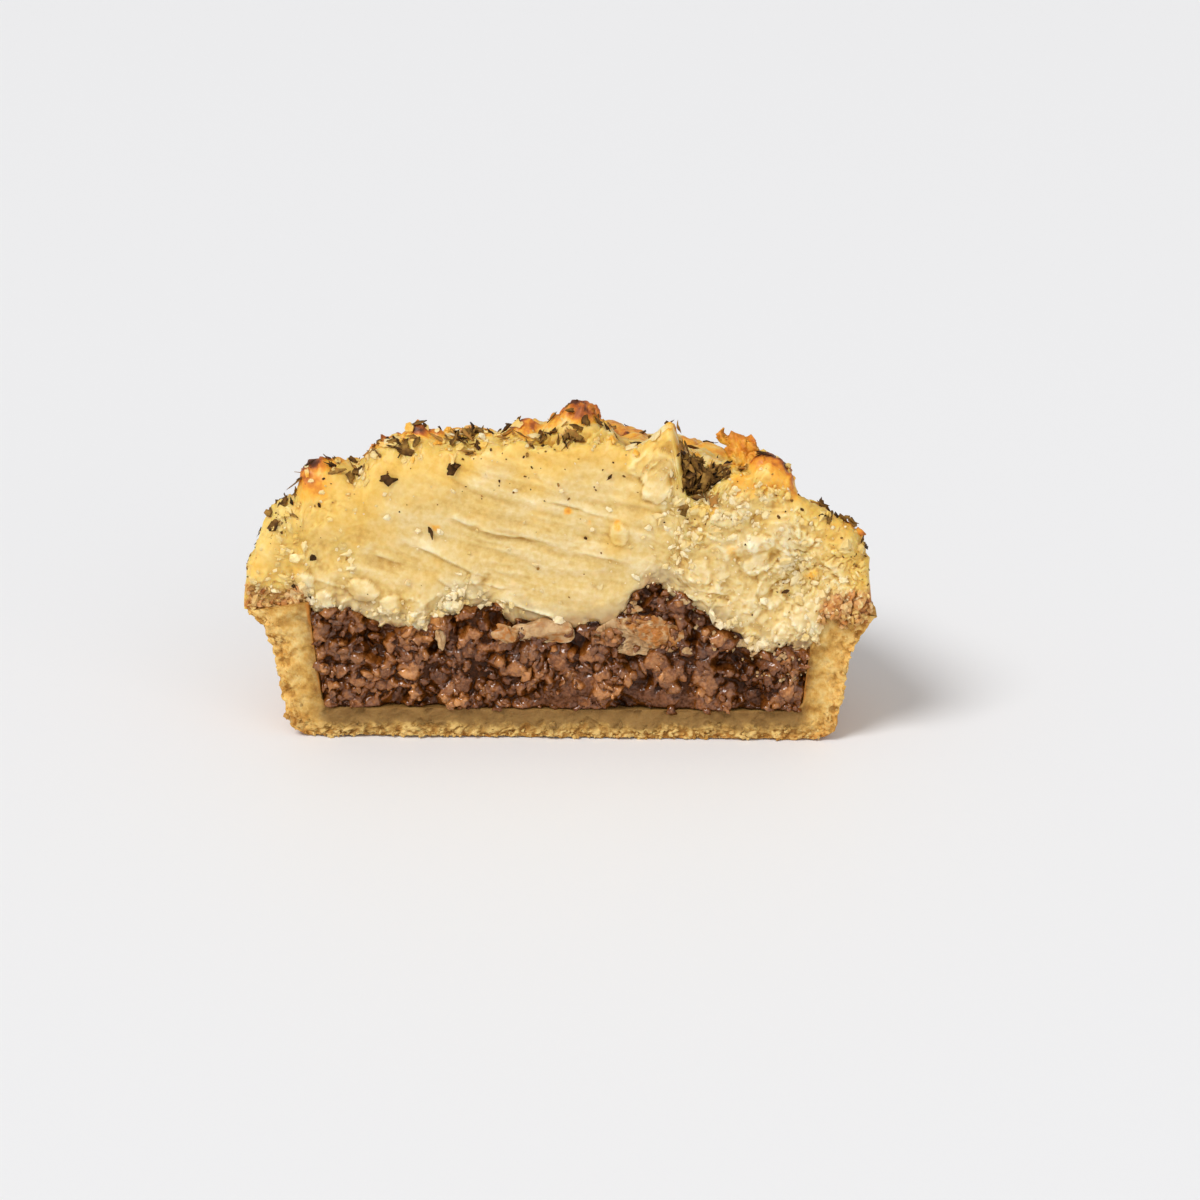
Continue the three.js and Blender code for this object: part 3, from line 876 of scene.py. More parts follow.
def broken_share(spots):
    """Where the potato broke in place of smearing: at the right, in a band along the filling at the left,
    and on the fin that stands at the hollow with the herbs."""
    x, z = spots[..., 0], spots[..., 2]
    above = z - filling_top(x, 0 * x)
    at_right = smooth_step(12, 32, x + 0.35 * (44 - z) + 8 * noise(spots, 9, 41))
    along_filling = smooth_step(8, 1, above + 4 * noise(spots, 6, 42)) * smooth_step(4, -16, x)
    at_left = 0.4 * smooth_step(-28, -42, x + 6 * noise(spots, 7, 43))
    on_rim = 0.8 * smooth_step(-46, -49, x) * smooth_step(33, 29, z)
    at_fin = 0.8 * np.exp(-(((x - 15.5) / 6) ** 2) - ((z - 51.5) / 4) ** 2)
    return np.clip(at_right + along_filling + at_left + on_rim + at_fin, 0, 1)


print("share that broke at one place:", broken_share(ON_CUT).round(2))

# %% Relief of the cut and of the top


def cut_relief(spots):
    """Relief of the cut in millimetres towards the viewer, at places on the flat cut."""
    broken = broken_share(spots)
    swell = 0.7 * noise(spots, 14, 51) + 0.3 * noise(spots, 5, 52)
    torn = smooth_step(-0.3, 0.5, noise(spots, 5.5, 58))
    small = 0.42 * torn * curds(spots, 1.5, 54) + 0.26 * rough(spots, 2.2, 56, 3)
    pieces = 1.15 * ledges(spots, 8.0, 53) + small
    pits = -0.35 * smooth_step(0.4, 0.75, noise(spots, 2.4, 57)) * (0.1 + 0.9 * broken)
    drawn = (1 - broken) * streaks(spots) + (1 - 0.5 * broken) * lips(spots)
    at_end = smooth_step(49, 52, spots[..., 0]) * smooth_step(30, 27, spots[..., 2])
    knob = at_end * (0.5 + curds(spots, 1.7, 59))
    fine = 0.05 * rough(spots, 1.2, 55, 2)
    return swell + drawn + chunks(spots) + broken * pieces + pits + knob + fine


def top_relief(spots):
    """Relief of the top along its normal: baked lumps of two sizes, with the sharper ridges that a fork
    leaves, all of it deeper behind the cut, and crumbly curds near the cut."""
    ridges = 0.5 - np.abs(noise(spots, 7, 61))
    baked_lumps = 0.9 * lumps(spots, 4.4, 151) + 0.7 * lumps(spots, 2.1, 161) + 0.5 * rough(spots, 5, 62, 3)
    crumbly = 0.5 * curds(spots, 1.9, 163) * smooth_step(18, 6, spots[..., 1])
    return (1 + 0.7 * smooth_step(8, 18, spots[..., 1])) * (baked_lumps + 1.1 * ridges) + crumbly


print("relief of the cut at one place:", cut_relief(ON_CUT).round(2), "mm")

# %% [markdown]
# ## The mashed potato
# The mound is a loaf of upright slices, one for each place along the cut. A slice runs up the cut face,
# over the top to the back, and returns underneath. That makes one closed grid, fine on the face and near
# its upper edge, where the viewer looks, and it shrinks to a point at either end. The knife's edge
# crumbled and is rounded over, by several millimetres at the left. The relief pushes the face forward and
# the top outward, and the two trade places over that rounding. A profile turned round the axis would be
# simpler, but its rows would not follow the edge of the cut.

# %% Slices of the mound, their upper edge and their seam
COLUMNS, FACE_ROWS, TOP_ROWS = 450, 132, 80
TUCK = 2.4


def edge_rounding(x):
    """How far the upper edge of the cut is rounded over, in millimetres: most at the left, least in the
    middle."""
    return 1.2 + 3.8 * smooth_step(-10, -28, x) + 1.6 * smooth_step(40, 50, x)


def seam_tear(spots):
    """How far the seam on the cut strays up or down: rough noise and curds, mostly under two
    millimetres."""
    return 1.3 * rough(spots, 3.4, 171, 3) + 0.5 * curds(spots, 2.6, 172)


share = np.linspace(0, 1, COLUMNS)
slice_x = -MOUND_RADIUS * np.cos(np.pi * share + 0.12 * np.sin(2 * np.pi * share))
reach_back = np.sqrt(np.maximum(0, MOUND_RADIUS**2 - slice_x**2))
tips = smooth_step(0, 1.5, MOUND_RADIUS - np.abs(slice_x))
rounding = np.minimum(edge_rounding(slice_x), 0.4 * reach_back)
edge_z = top_height(slice_x, rounding)
# At the right the potato spills over the wall of the case and hangs lower at its end
over_wall = 2.2 * smooth_step(34, 44, slice_x)
seam_z = potato_under(slice_x - over_wall, 0 * slice_x)
seam_z = seam_z - 2.4 * smooth_step(49.5, 52.5, slice_x) * tips
inner_low = filling_top(np.clip(slice_x, -CAVITY, CAVITY), 0.0) - 1.3 * TUCK
low_z = inner_low + (MOUND_FOOT - inner_low) * smooth_step(CAVITY, MOUND_RADIUS, np.abs(slice_x))
low_z = np.minimum(np.minimum(low_z, seam_z - 1.2 * tips), edge_z)
print("upper edge up to", edge_z.max().round(1), "mm, seam down to", seam_z.min().round(1), "mm")

# %% The cut face, from below the seam up to the rounded edge
up = np.linspace(0, 1, FACE_ROWS)[:, None]
face_z = low_z + (edge_z - low_z) * up
over_edge = np.clip(1 - (edge_z - face_z) / np.maximum(rounding, 1e-6), 0, 1)
rounded = rounding * (1 - np.sqrt(1 - over_edge**2))
flat = np.stack([slice_x + 0 * face_z, 0 * face_z, face_z], -1)
strayed_x = slice_x - over_wall + 1.5 * smooth_step(36, 42, slice_x) * rough(flat, 4.5, 173, 4, 0.6)
strayed = potato_under(strayed_x, 0 * face_z) - potato_under(slice_x - over_wall, 0 * slice_x)
torn_seam = seam_z + strayed + seam_tear(flat)
tucked = TUCK * tips * smooth_step(0.8, -0.8 * TUCK, face_z - torn_seam)
face = np.stack([slice_x + 0 * face_z, rounded, face_z], -1)
print("grid of the cut face:", face.shape)

# %% The top, from the rounded edge to the back, and the underside, from the back to the cut
UNDER_RADII = np.array([53.0, 49.0, CAVITY + 0.4, CAVITY - 0.8, 34.0, 22.0, 12.0, 7.0])
back = np.linspace(0, 1, TOP_ROWS + 1)[1:, None]
top_y = rounding + (reach_back - rounding) * np.sin(back**1.5 * np.pi / 2)
top = np.stack([slice_x + 0 * top_y, top_y, top_height(slice_x, top_y)], -1)
under_y = np.sqrt(np.maximum(0, UNDER_RADII[:, None] ** 2 - slice_x**2))
under_y = np.maximum(under_y, np.minimum(TUCK, reach_back))
under = np.stack([slice_x + 0 * under_y, under_y, potato_under(slice_x, under_y)], -1)
print("grids of the top and the underside:", top.shape, under.shape)

# %% Push the relief out of the smooth mound


def pushed(spots, on_face, on_top):
    """Moves points forward by the cut's relief, a little more where the potato spills over the wall, and
    outward by the top's, each times its own share. At the foot behind the cut the potato also runs down
    over the rim here and there."""
    outward = unit(spots * [1, 1, 1.4] - [0, 0, 1.4 * MOUND_FOOT])
    crest = np.clip((spots[..., 2] - MOUND_FOOT) / 9, 0, 1)
    swell = top_relief(spots) * on_top * tips * (0.35 + 0.65 * crest)
    at_foot = smooth_step(MOUND_FOOT + 4, MOUND_FOOT, spots[..., 2]) * smooth_step(1, 5, spots[..., 1])
    drips = np.maximum(0, noise(spots * [1, 1, 0.4], 6, 63) + 0.2) * at_foot
    moved = spots + (swell + 1.2 * drips)[..., None] * outward
    moved[..., 2] -= 1.4 * drips
    moved[..., 1] -= (cut_relief(spots * [1, 0, 1]) + 0.12 * over_wall) * on_face * tips
    return moved


def squeezed(spots):
    """The right end of the mound, pressed in by up to a millimetre and a half."""
    return spots - 1.5 * smooth_step(30, MOUND_RADIUS, spots[..., :1]) * [1, 0, 0]


face_points = pushed(face, 1 - 0.6 * over_edge, over_edge)
face_points[..., 1] += tucked
face_points = squeezed(face_points)
top_points = squeezed(pushed(top, 0.4 * np.exp(-(top_y - rounding) / 1.2), 1.0))
mound_points = np.concatenate([face_points, top_points, squeezed(under)])
print("mound reaches", mound_points.min((0, 1)).round(1), "to", mound_points.max((0, 1)).round(1))

# %% [markdown]
# ## How brown, how yellow, how stained
# Heat reached the crags first. The height of a spot over the smooth mound is therefore a good guide to
# how brown it is, helped by noise. Potato near the outside is yellower than the pale heart, and along
# the filling it is painted darker and duller, partly for damp potato and partly as painted shade.
# Where the potato lies on the pastry rim, gravy boiled up at both ends and stained it tan. What stands
# out is painted lighter than a crease, as painted light and painted shade. It is measured as relief
# less its own blur, which finds a crumb on a swell as well as one on the flat.

# %% What stands out of its surroundings, painted lighter, and the creases, painted darker


def box_blurred(values, reach):
    """Mean over a square of (2 * reach + 1) cells, one axis after the other, by differences of running
    sums."""
    for axis in (0, 1):
        margin = [(reach + 1, reach) if a == axis else (0, 0) for a in (0, 1)]
        running = np.cumsum(np.pad(values, margin, mode="edge"), axis=axis)
        size = values.shape[axis]
        after = np.take(running, np.arange(2 * reach + 1, 2 * reach + 1 + size), axis=axis)
        before = np.take(running, np.arange(0, size), axis=axis)
        values = (after - before) / (2 * reach + 1)
    return values


def raised_of(relief):
    """How far a spot stands out of its surroundings, from 0 in a crease over 0.5 to 1, from two sizes of
    blur."""
    near, far = relief - box_blurred(relief, 4), relief - box_blurred(relief, 12)
    return np.clip(0.5 + 0.5 * near + 0.28 * far, 0, 1)


upper_z = np.concatenate([face_points, top_points])[..., 2]
over_smooth = upper_z - mound_height(slice_x, np.concatenate([rounded, top_y]))
# Painted light and shade for the finishes: 1 where a spot stands out, 0 in a crease
top_raised = raised_of(over_smooth)[FACE_ROWS:]
face_raised = raised_of(rounded + tucked - face_points[..., 1])
face_raised = np.clip(face_raised + 0.12 * rough(face * [0.5, 1, 1], 3.5, 82, 3), 0, 1)
print("mean of what is raised on the cut:", face_raised.mean().round(3))

# %% How brown
TOASTED_BITS = [
    # place x and z on the cut, size, browning
    (1.3, 43.2, 0.7, 0.42), (5.6, 41.6, 1.0, 0.25), (9.9, 40.8, 1.0, 0.32), (-22.0, 39.8, 0.9, 0.35),
    (26.6, 43.4, 1.2, 0.4), (30.8, 35.8, 1.4, 0.25), (45.2, 31.4, 1.4, 0.3), (-47.5, 32.0, 1.2, 0.25),
    (37.6, 48.4, 3.0, 0.34), (41.2, 47.0, 1.8, 0.40), (31.6, 48.0, 2.4, 0.34), (-43.4, 47.2, 2.8, 0.46),
    (50.0, 40.4, 2.0, 0.26),
]
TOASTED_TOPS = [
    # place x and y on the top, size, browning
    (-44.0, 4.0, 3.8, 0.36), (-31.5, 5.5, 3.2, 0.40), (-24.5, 6.5, 2.8, 0.42), (-19.0, 6.5, 2.2, 0.26),
    (-7.0, 8.0, 3.2, 0.52), (2.8, 8.8, 2.6, 0.16), (38.0, 4.0, 4.8, 0.30), (32.0, 5.0, 3.0, 0.26),
    (46.5, 6.0, 3.4, 0.34), (51.5, 4.0, 2.6, 0.36),
]


def browned_at(spots):
    """Share of browning: the height over the smooth mound in millimetres plus rough noise, as an S-shaped
    rise, and bell-shaped toasted spots on top of it."""
    x, y = spots[..., 0], np.maximum(0, spots[..., 1])
    over = spots[..., 2] - mound_height(x, y)
    toasted = 0
    for spot_x, spot_y, size, amount in TOASTED_TOPS:
        toasted = toasted + amount * np.exp(-((x - spot_x) ** 2 + (y - spot_y) ** 2) / size**2)
    by_height = smooth_step(2.4, 12.0, over + 1.8 * rough(spots, 3.5, 71, 3))
    return by_height + toasted * (1 + 0.8 * rough(spots, 2.5, 80, 2))


top_browned = browned_at(top_points) + 0.3 * smooth_step(0.6, 0.95, top_raised)
pale_peak = np.exp(-(((top[..., 0] - 17.5) / 4.5) ** 2)) * smooth_step(7, 3, top_y)
top_browned = np.clip(top_browned, 0, 1) * (1 - 0.8 * pale_peak)
top_browned = np.maximum(top_browned, smooth_step(6, 18, top_y) * (0.34 + 0.3 * rough(top, 7, 72, 3)))
face_browned = browned_at(face_points) * over_edge
for bit_x, bit_z, size, amount in TOASTED_BITS:
    away = np.hypot(face[..., 0] - bit_x, face_z - bit_z) / size
    face_browned = face_browned + amount * np.exp(-(away**2))
print("share of the top that is brown:", (top_browned > 0.4).mean().round(2))

# %% How yellow: most near the outside
depth_in = np.minimum(edge_z - face_z, 1.2 * (MOUND_RADIUS - np.abs(face[..., 0])))
face_baked = np.exp(-np.maximum(depth_in - rounding, 0) / 6.5) + 0.25 * noise(face, 9, 73)
face_baked = face_baked + 0.35 * smooth_step(-26, -44, face[..., 0]) * smooth_step(28, 34, face_z)
face_baked = face_baked + 0.8 * np.exp(-(((face[..., 0] - 10) / 2.4) ** 2) - ((face_z - 38.7) / 3) ** 2)
top_baked = np.ones_like(top_y)
print("mean yellow of the cut:", face_baked.mean().round(2))

# %% How stained, on the rim and along the filling, and how damp and shaded above the filling
on_rim = smooth_step(CAVITY - 0.5, CAVITY + 3.5, np.abs(face[..., 0]))
low_on_rim = smooth_step(5.5, 2.0, face_z - seam_z + 2.0 * noise(face, 3, 74)) * on_rim
low_on_rim = low_on_rim * (1 - smooth_step(0, 20, face[..., 0]) * smooth_step(25, 22, face_z))
at_knob = smooth_step(48.5, 51.5, face[..., 0] + 1.5 * noise(face, 2.5, 79)) * smooth_step(30, 27, face_z)
near_filling = 0.4 * smooth_step(1.8, 0.0, face_z - seam_z + 1.1 * noise(face, 1.7, 75))
face_stained = np.clip(0.7 * low_on_rim + 1.6 * at_knob + near_filling, 0, 1.6)
top_stained = smooth_step(30, 27, top_points[..., 2] + 2 * noise(top, 3, 76)) * smooth_step(16, 4, top_y)
by_filling = smooth_step(5.5, 0.5, face_z - seam_z + 2.2 * noise(face, 4, 78)) * (1 - on_rim)
# Darker and duller above the filling, except on what stands out: partly damp potato, partly painted shade
face_damp = 0.9 * by_filling * (1 - smooth_step(0.6, 0.9, face_raised))
print("mean stain and damp of the cut:", face_stained.mean().round(3), face_damp.mean().round(3))

# %% The mound as a mesh object
nothing = np.zeros(under.shape[:2])
make_piece(
    "mashed_potato",
    mound_points,
    grid_faces(len(mound_points), COLUMNS, closed=True),
    mash_finish,
    "mash",
    stands_for=["mash"],
    browned=np.concatenate([face_browned, top_browned, nothing]),
    baked=np.concatenate([face_baked, top_baked, nothing]),
    stained=np.concatenate([face_stained, top_stained, nothing]),
    raised=np.concatenate([face_raised, top_raised, nothing]),
    damp=np.concatenate([face_damp, 0 * top_y, nothing]),
)

# %% [markdown]
# ## Crisp flakes that stand up
# A height over the mound can't lean or stand on edge, and the crispest bits do: a ruffled flake at the
# right, small ones on other crags, and the dark cap of the tallest peak. Each is a stack of oval rings
# that leans and waves, with a ragged upper edge, and its foot is sunk in the mound. They are brownest at
# the top.

# %% Shape of a standing flake
RING, RINGS, SUNK = 64, 44, 1.6
FLAKE_POINTS = RINGS * (RING + 1)


def standing_flake(place_x, place_y, rise, foot_width, top_width, thick, lean, blunt, folds, seed):
    """Oval rings that close at the foot and at the top, (1 - height ** blunt) ** 0.5 wide between, on a
    middle line that leans with the square of the height. A sine along x folds the sheet, more towards the
    top, noise raises and lowers its upper edge, and curds dent it."""
    turn = np.linspace(0, 2 * np.pi, RING + 1)
    height = np.linspace(0, 1, RINGS)[:, None]
    narrow = np.sqrt((1 - height**blunt) * (1 - (1 - height) ** 12))
    width = foot_width + (top_width - foot_width) * smooth_step(0.15, 0.95, height)
    x = 0.5 * width * narrow * np.cos(turn)
    y = 0.5 * thick * narrow * np.sin(turn)
    along_edge = np.stack([x, 0 * x, 0 * x + 3.3 * seed], -1)
    rag = 1 + 0.17 * rough(along_edge, 1.2, seed, 3, 0.6) - 0.035 * folds * x
    z = (rise + SUNK) * height * rag
    wave = folds * height * np.sin(2 * np.pi * x / 1.9 + 2.5 * height)
    wave = wave + 0.3 * noise(np.stack([x, 0 * x, z], -1), 2, seed)
    foot = top_height(place_x, place_y) - SUNK
    spots = np.stack([place_x + x + lean * height**2, place_y + y + wave, foot + z], -1)
    inward = np.stack([x, y, 0 * x], -1) / (0.25 * (width + thick))[..., None]
    dents = 0.4 * rough(spots, 1.5, seed + 2, 4) + 0.55 * curds(spots, 1.3, seed + 6)
    moved = spots + dents[..., None] * inward
    moved[:, -1] = moved[:, 0]
    return moved, height + 0.4 * dents


print("points of a standing flake:", FLAKE_POINTS)

# %% Standing flakes
STANDING = [
    # place x and y, rise, width at the foot and at the top, thickness, lean, bluntness, folds,
    # browning at the foot and at the top
    (31.8, 5.6, 6.0, 2.8, 7.6, 2.2, -1.2, 8.0, 0.35, 0.30, 0.58),
    (33.0, 6.3, 5.2, 2.4, 4.6, 1.6, 0.4, 6.0, 0.3, 0.34, 0.64),
    (31.6, 4.8, 3.2, 2.2, 4.0, 1.3, -0.4, 4.0, 0.4, 0.26, 0.44),
    (33.2, 4.4, 1.6, 2.0, 3.0, 1.3, 0.4, 3.0, 0.3, 0.26, 0.40),
    (1.2, 8.6, 0.7, 3.0, 2.4, 2.8, -0.2, 1.8, 0.0, 0.58, 0.76),
    (2.8, 9.2, 0.8, 2.8, 2.4, 2.8, 0.0, 1.8, 0.0, 0.60, 0.82),
    (4.2, 8.8, 0.6, 2.4, 2.2, 2.4, 0.1, 1.8, 0.0, 0.58, 0.74),
    (5.6, 9.6, 0.9, 2.6, 2.2, 2.4, 0.3, 1.8, 0.0, 0.62, 0.86),
    (-7.0, 8.4, 0.4, 4.0, 3.4, 3.4, 0.2, 1.8, 0.0, 0.35, 0.62),
    (39.4, 4.4, 0.8, 3.4, 3.2, 3.0, 0.3, 2.2, 0.0, 0.25, 0.42),
    (37.0, 4.6, 0.6, 3.2, 2.8, 2.8, 0.0, 2.0, 0.0, 0.25, 0.40),
    (35.0, 5.0, 0.5, 2.8, 2.6, 2.6, 0.0, 2.0, 0.0, 0.25, 0.50),
    (-33.0, 6.0, 0.8, 2.6, 2.4, 2.6, -0.4, 2.0, 0.0, 0.30, 0.68),
    (-29.6, 6.2, 0.6, 2.6, 2.2, 2.4, 0.2, 2.0, 0.0, 0.22, 0.50),
    (-25.2, 7.0, 1.0, 2.4, 1.8, 2.2, -0.3, 2.0, 0.0, 0.30, 0.62),
    (-20.4, 7.0, 1.4, 1.8, 1.2, 1.4, 0.4, 3.0, 0.0, 0.20, 0.42),
    (-45.0, 5.0, 0.7, 2.8, 2.4, 2.6, -0.4, 2.0, 0.0, 0.28, 0.46),
    (-42.0, 5.2, 0.5, 2.8, 2.4, 2.6, 0.0, 2.0, 0.0, 0.22, 0.48),
    (20.0, 2.6, 0.9, 1.8, 1.0, 1.4, 0.2, 2.0, 0.0, 0.15, 0.50),
    (52.4, 4.6, 0.7, 2.0, 1.6, 1.8, 0.3, 2.0, 0.0, 0.30, 0.62),
    (11.2, 19.6, 0.8, 4.0, 3.4, 3.6, 0.0, 1.8, 0.0, 0.60, 1.00),
]
flake_points, flake_browned = [], []
for number, (*form, foot_brown, top_brown) in enumerate(STANDING):
    points, height = standing_flake(*form, seed=200 + 20 * number)
    flake_points.append(points)
    flake_browned.append(foot_brown + (top_brown - foot_brown) * smooth_step(0.2, 1.0, height))
flake_points = np.stack(flake_points)
make_piece(
    "crisp_flakes",
    flake_points,
    copies_faces(grid_faces(RINGS, RING + 1), FLAKE_POINTS, len(STANDING)),
    crumb_finish,
    "mash",
    browned=np.stack(flake_browned),
    baked=np.ones(flake_points.shape[:-1]),
    stained=np.zeros(flake_points.shape[:-1]),
    raised=np.full(flake_points.shape[:-1], 0.5),
)

# %% [markdown]
# ## The minced steak
# The filling is built in slices like the mound. Its cut face is a soft brown paste with grains in it:
# three cell patterns, for large, middling and small grains, hold a ball in some of their cells, and the
# foremost of the three shows. Slow noise opens dark hollows between them and gathers others into clumps.
# Gravy fills the gaps up to a level of its own and is smooth there. The cell's own random number becomes
# the grain's shade. Thousands of separate grains could be heaped up in place of this, but most of them
# would be hidden.

# %% The filling as a grid of slices
STEAK_COLUMNS, STEAK_ROWS = 680, 132
MIDDLE_Z = 14.0
steak_share = np.linspace(0, 1, STEAK_COLUMNS)
along_cut = -np.cos(np.pi * steak_share + 0.2 * np.sin(2 * np.pi * steak_share))
ends = smooth_step(0, 0.6, (1 - np.abs(along_cut)) * CAVITY)
steak_top = MIDDLE_Z + (filling_top(along_cut * CAVITY, 0.0) + 2.4 - MIDDLE_Z) * ends
steak_foot = MIDDLE_Z + (FLOOR - 0.8 - MIDDLE_Z) * ends
steak_up = np.linspace(0, 1, STEAK_ROWS)[:, None]
steak_z = steak_foot + (steak_top - steak_foot) * steak_up
steak_x = along_cut * (cavity_radius(steak_z) + 1.2)
steak_flat = np.stack([steak_x, 0 * steak_z, steak_z], -1)
print("filling grid:", steak_flat.shape)

# %% Grains of three sizes


def grains(spots, size, seed, kept, stands_out):
    """Fronts of grains in millimetres: radius * (1 - (distance / radius) ** 2) ** 0.5 round the seed of a
    cell, with a radius of its own, in the share kept of the cells. The share stands_out of that height is
    used. Also gives the cell's random number."""
    near, _, _, picks = cells(spots, size, seed)
    radius = 0.45 + 0.5 * picks[..., 1]
    front = radius * np.sqrt(np.maximum(0, 1 - (near / radius) ** 2))
    return stands_out * (size * front * (picks[..., 2] < kept)), picks[..., 0]


GRAIN_SORTS = [
    # size, seed, share of the cells that hold a grain, share of the height that stands out
    (3.2, 111, 0.35, 0.46), (1.9, 131, 0.65, 0.66), (1.15, 151, 0.6, 0.75),
]
steak_bent = bent(steak_flat, 1.8, 0.4, 80)
sorts = [grains(steak_bent, *sort) for sort in GRAIN_SORTS]
fronts = np.stack([front for front, _ in sorts])
foremost = fronts.argmax(0)
grain_shade = np.choose(foremost, [shade for _, shade in sorts])
print("share of the cut for each sort of grain:", (np.bincount(foremost.ravel()) / foremost.size).round(2))

# %% Soft paste, deep hollows, pasty places with few grains, and clumps, each by slow noise
paste = 0.7 * noise(steak_flat, 6.0, 91) + 0.45 * noise(steak_flat, 2.8, 92)
hollow = smooth_step(0.2, 0.7, noise(steak_flat, 4.6, 93) + 0.5 * noise(steak_flat, 2.2, 94))
pasty = smooth_step(-0.1, 0.6, noise(steak_flat * [0.5, 1, 1], 5.0, 96) + 0.05 * (11 - steak_z))
clumped = smooth_step(0.2, 0.55, noise(steak_flat, 4.6, 99) + 0.3 * noise(steak_flat, 2.0, 100))
clumped = clumped * (1 - hollow)
grain_height = (1 - 0.6 * pasty * (1 - clumped)) * (fronts.max(0) + 0.25 * fronts[2])
steak_forward = paste + grain_height + 0.1 * rough(steak_bent, 0.9, 97, 2)
steak_forward = steak_forward - 1.9 * hollow * (1 - 0.5 * pasty) + 0.7 * clumped
steak_forward = steak_forward - steak_forward.mean()
print("relief without gravy from", steak_forward.min().round(2), "to", steak_forward.max().round(2), "mm")

# %% Gravy, which stands higher in pasty places and shows where it is higher than the grains
gravy = 0.35 * noise(steak_flat, 4.0, 101) + 0.5 * clumped - 0.25 - 1.5 * (1 - pasty)
in_gravy = smooth_step(-0.3, 0.3, gravy - steak_forward)
steak_forward = 0.5 * (steak_forward + gravy + np.hypot(steak_forward - gravy, 0.25))
print("share of the cut under gravy:", in_gravy.mean().round(2))

# %% Room for the potato pieces: the filling stands back from them, so that they show
by_pieces = np.zeros(steak_z.shape)
for piece in ("potato_slice", "potato_lump"):
    piece_low, piece_high = (corner - AXIS for corner in box_mm(piece))
    piece_middle, piece_half = (piece_low + piece_high) / 2, (piece_high - piece_low) / 2
    aside = (steak_x - piece_middle[0]) / piece_half[0]
    above = (steak_z - piece_middle[2] - 0.5) / piece_half[2]
    away = np.hypot(aside, above) + 0.22 * rough(steak_flat, 2.2, 98, 2)
    by_piece = smooth_step(0.86, 0.6, away)
    steak_forward = steak_forward - (np.maximum(steak_forward, -0.4) + 1.2) * by_piece
    by_pieces = np.maximum(by_pieces, by_piece)
print("grain relief from", steak_forward.min().round(2), "to", steak_forward.max().round(2), "mm")

# %% Where the filling passes behind the case and the potato
past_wall = smooth_step(-0.5, 0.7, np.abs(steak_x) - cavity_radius(steak_z))
past_top = smooth_step(-0.7, 1.5, steak_z - filling_top(steak_x, 0.0) - seam_tear(steak_flat))
past_floor = smooth_step(0.5, -0.8, steak_z - FLOOR)
steak_tucked = TUCK * np.maximum(np.maximum(past_wall, past_top), past_floor)
steak_face = steak_flat.copy()
steak_face[..., 1] = TUCK + (steak_tucked - steak_forward - TUCK) * ends
print("share of the grid that is tucked back:", (steak_tucked > 0.5 * TUCK).mean().round(2))

# %% Colour values of the filling, with painted shade in its hollows and painted light on its foremost grains
# Depth paints light and shade: higher on grains that stand forward, lower in the hollows
steak_depth_and_shade = 0.23 + 0.44 * grain_height + 0.12 * paste - 0.25 * hollow * (1 - 0.5 * pasty)
steak_depth_and_shade = np.clip(steak_depth_and_shade + 0.12 * pasty + 0.13 * clumped, 0, 1)
gravy_depth = 0.26 + 0.18 * pasty + 0.08 * noise(steak_flat, 3.0, 102)
steak_depth_and_shade = steak_depth_and_shade + 0.8 * in_gravy * (gravy_depth - steak_depth_and_shade)
steak_depth_and_shade = steak_depth_and_shade + 0.08 * smooth_step(-12, -32, steak_x)
# Darker towards the floor of the case
steak_depth_and_shade = steak_depth_and_shade * (1 - 0.5 * smooth_step(1.0, 0.0, steak_z - FLOOR))
own_shade = 0.55 * (1 - 0.5 * pasty) * (grain_shade - 0.5)
steak_shade = np.clip(0.46 + own_shade + 0.26 * noise(steak_flat, 8, 95) + 0.16 * pasty, 0, 1)
print("mean depth and shade:", steak_depth_and_shade.mean().round(3), steak_shade.mean().round(3))

# %% The filling as a mesh object
end_x = along_cut * (cavity_radius(MIDDLE_Z) + 1.2)
steak_back = np.sqrt(np.maximum(0, CAVITY**2 - end_x**2))
depth_steps = np.array([0.02, 0.12, 0.3, 0.55, 0.8, 1.0])[:, None]
rows_y = TUCK + depth_steps * np.maximum(0, steak_back - TUCK) * ends
over_z = MIDDLE_Z + (filling_top(end_x, rows_y) - MIDDLE_Z) * ends
over = np.stack([end_x + 0 * rows_y, rows_y, over_z], -1)
beneath = np.stack([end_x + 0 * rows_y, rows_y, steak_foot + 0 * rows_y], -1)[::-1]
steak_points = np.concatenate([steak_face, over, beneath])
plain = np.full((len(over) + len(beneath), STEAK_COLUMNS), 0.5)
make_piece(
    "minced_steak",
    steak_points,
    grid_faces(len(steak_points), STEAK_COLUMNS, closed=True),
    steak_finish,
    "mince",
    stands_for=["mince"],
    depth=np.concatenate([steak_depth_and_shade, plain]),
    shade=np.concatenate([steak_shade, plain]),
)

# %% [markdown]
# ## Loose grains
# The relief above can't undercut, so a few hundred separate grains lie on it as well, some catching the
# light, some half sunk in gravy. They share the filling's finish, with their fronts painted lighter and
# their sunk parts darker, as painted light and shade.

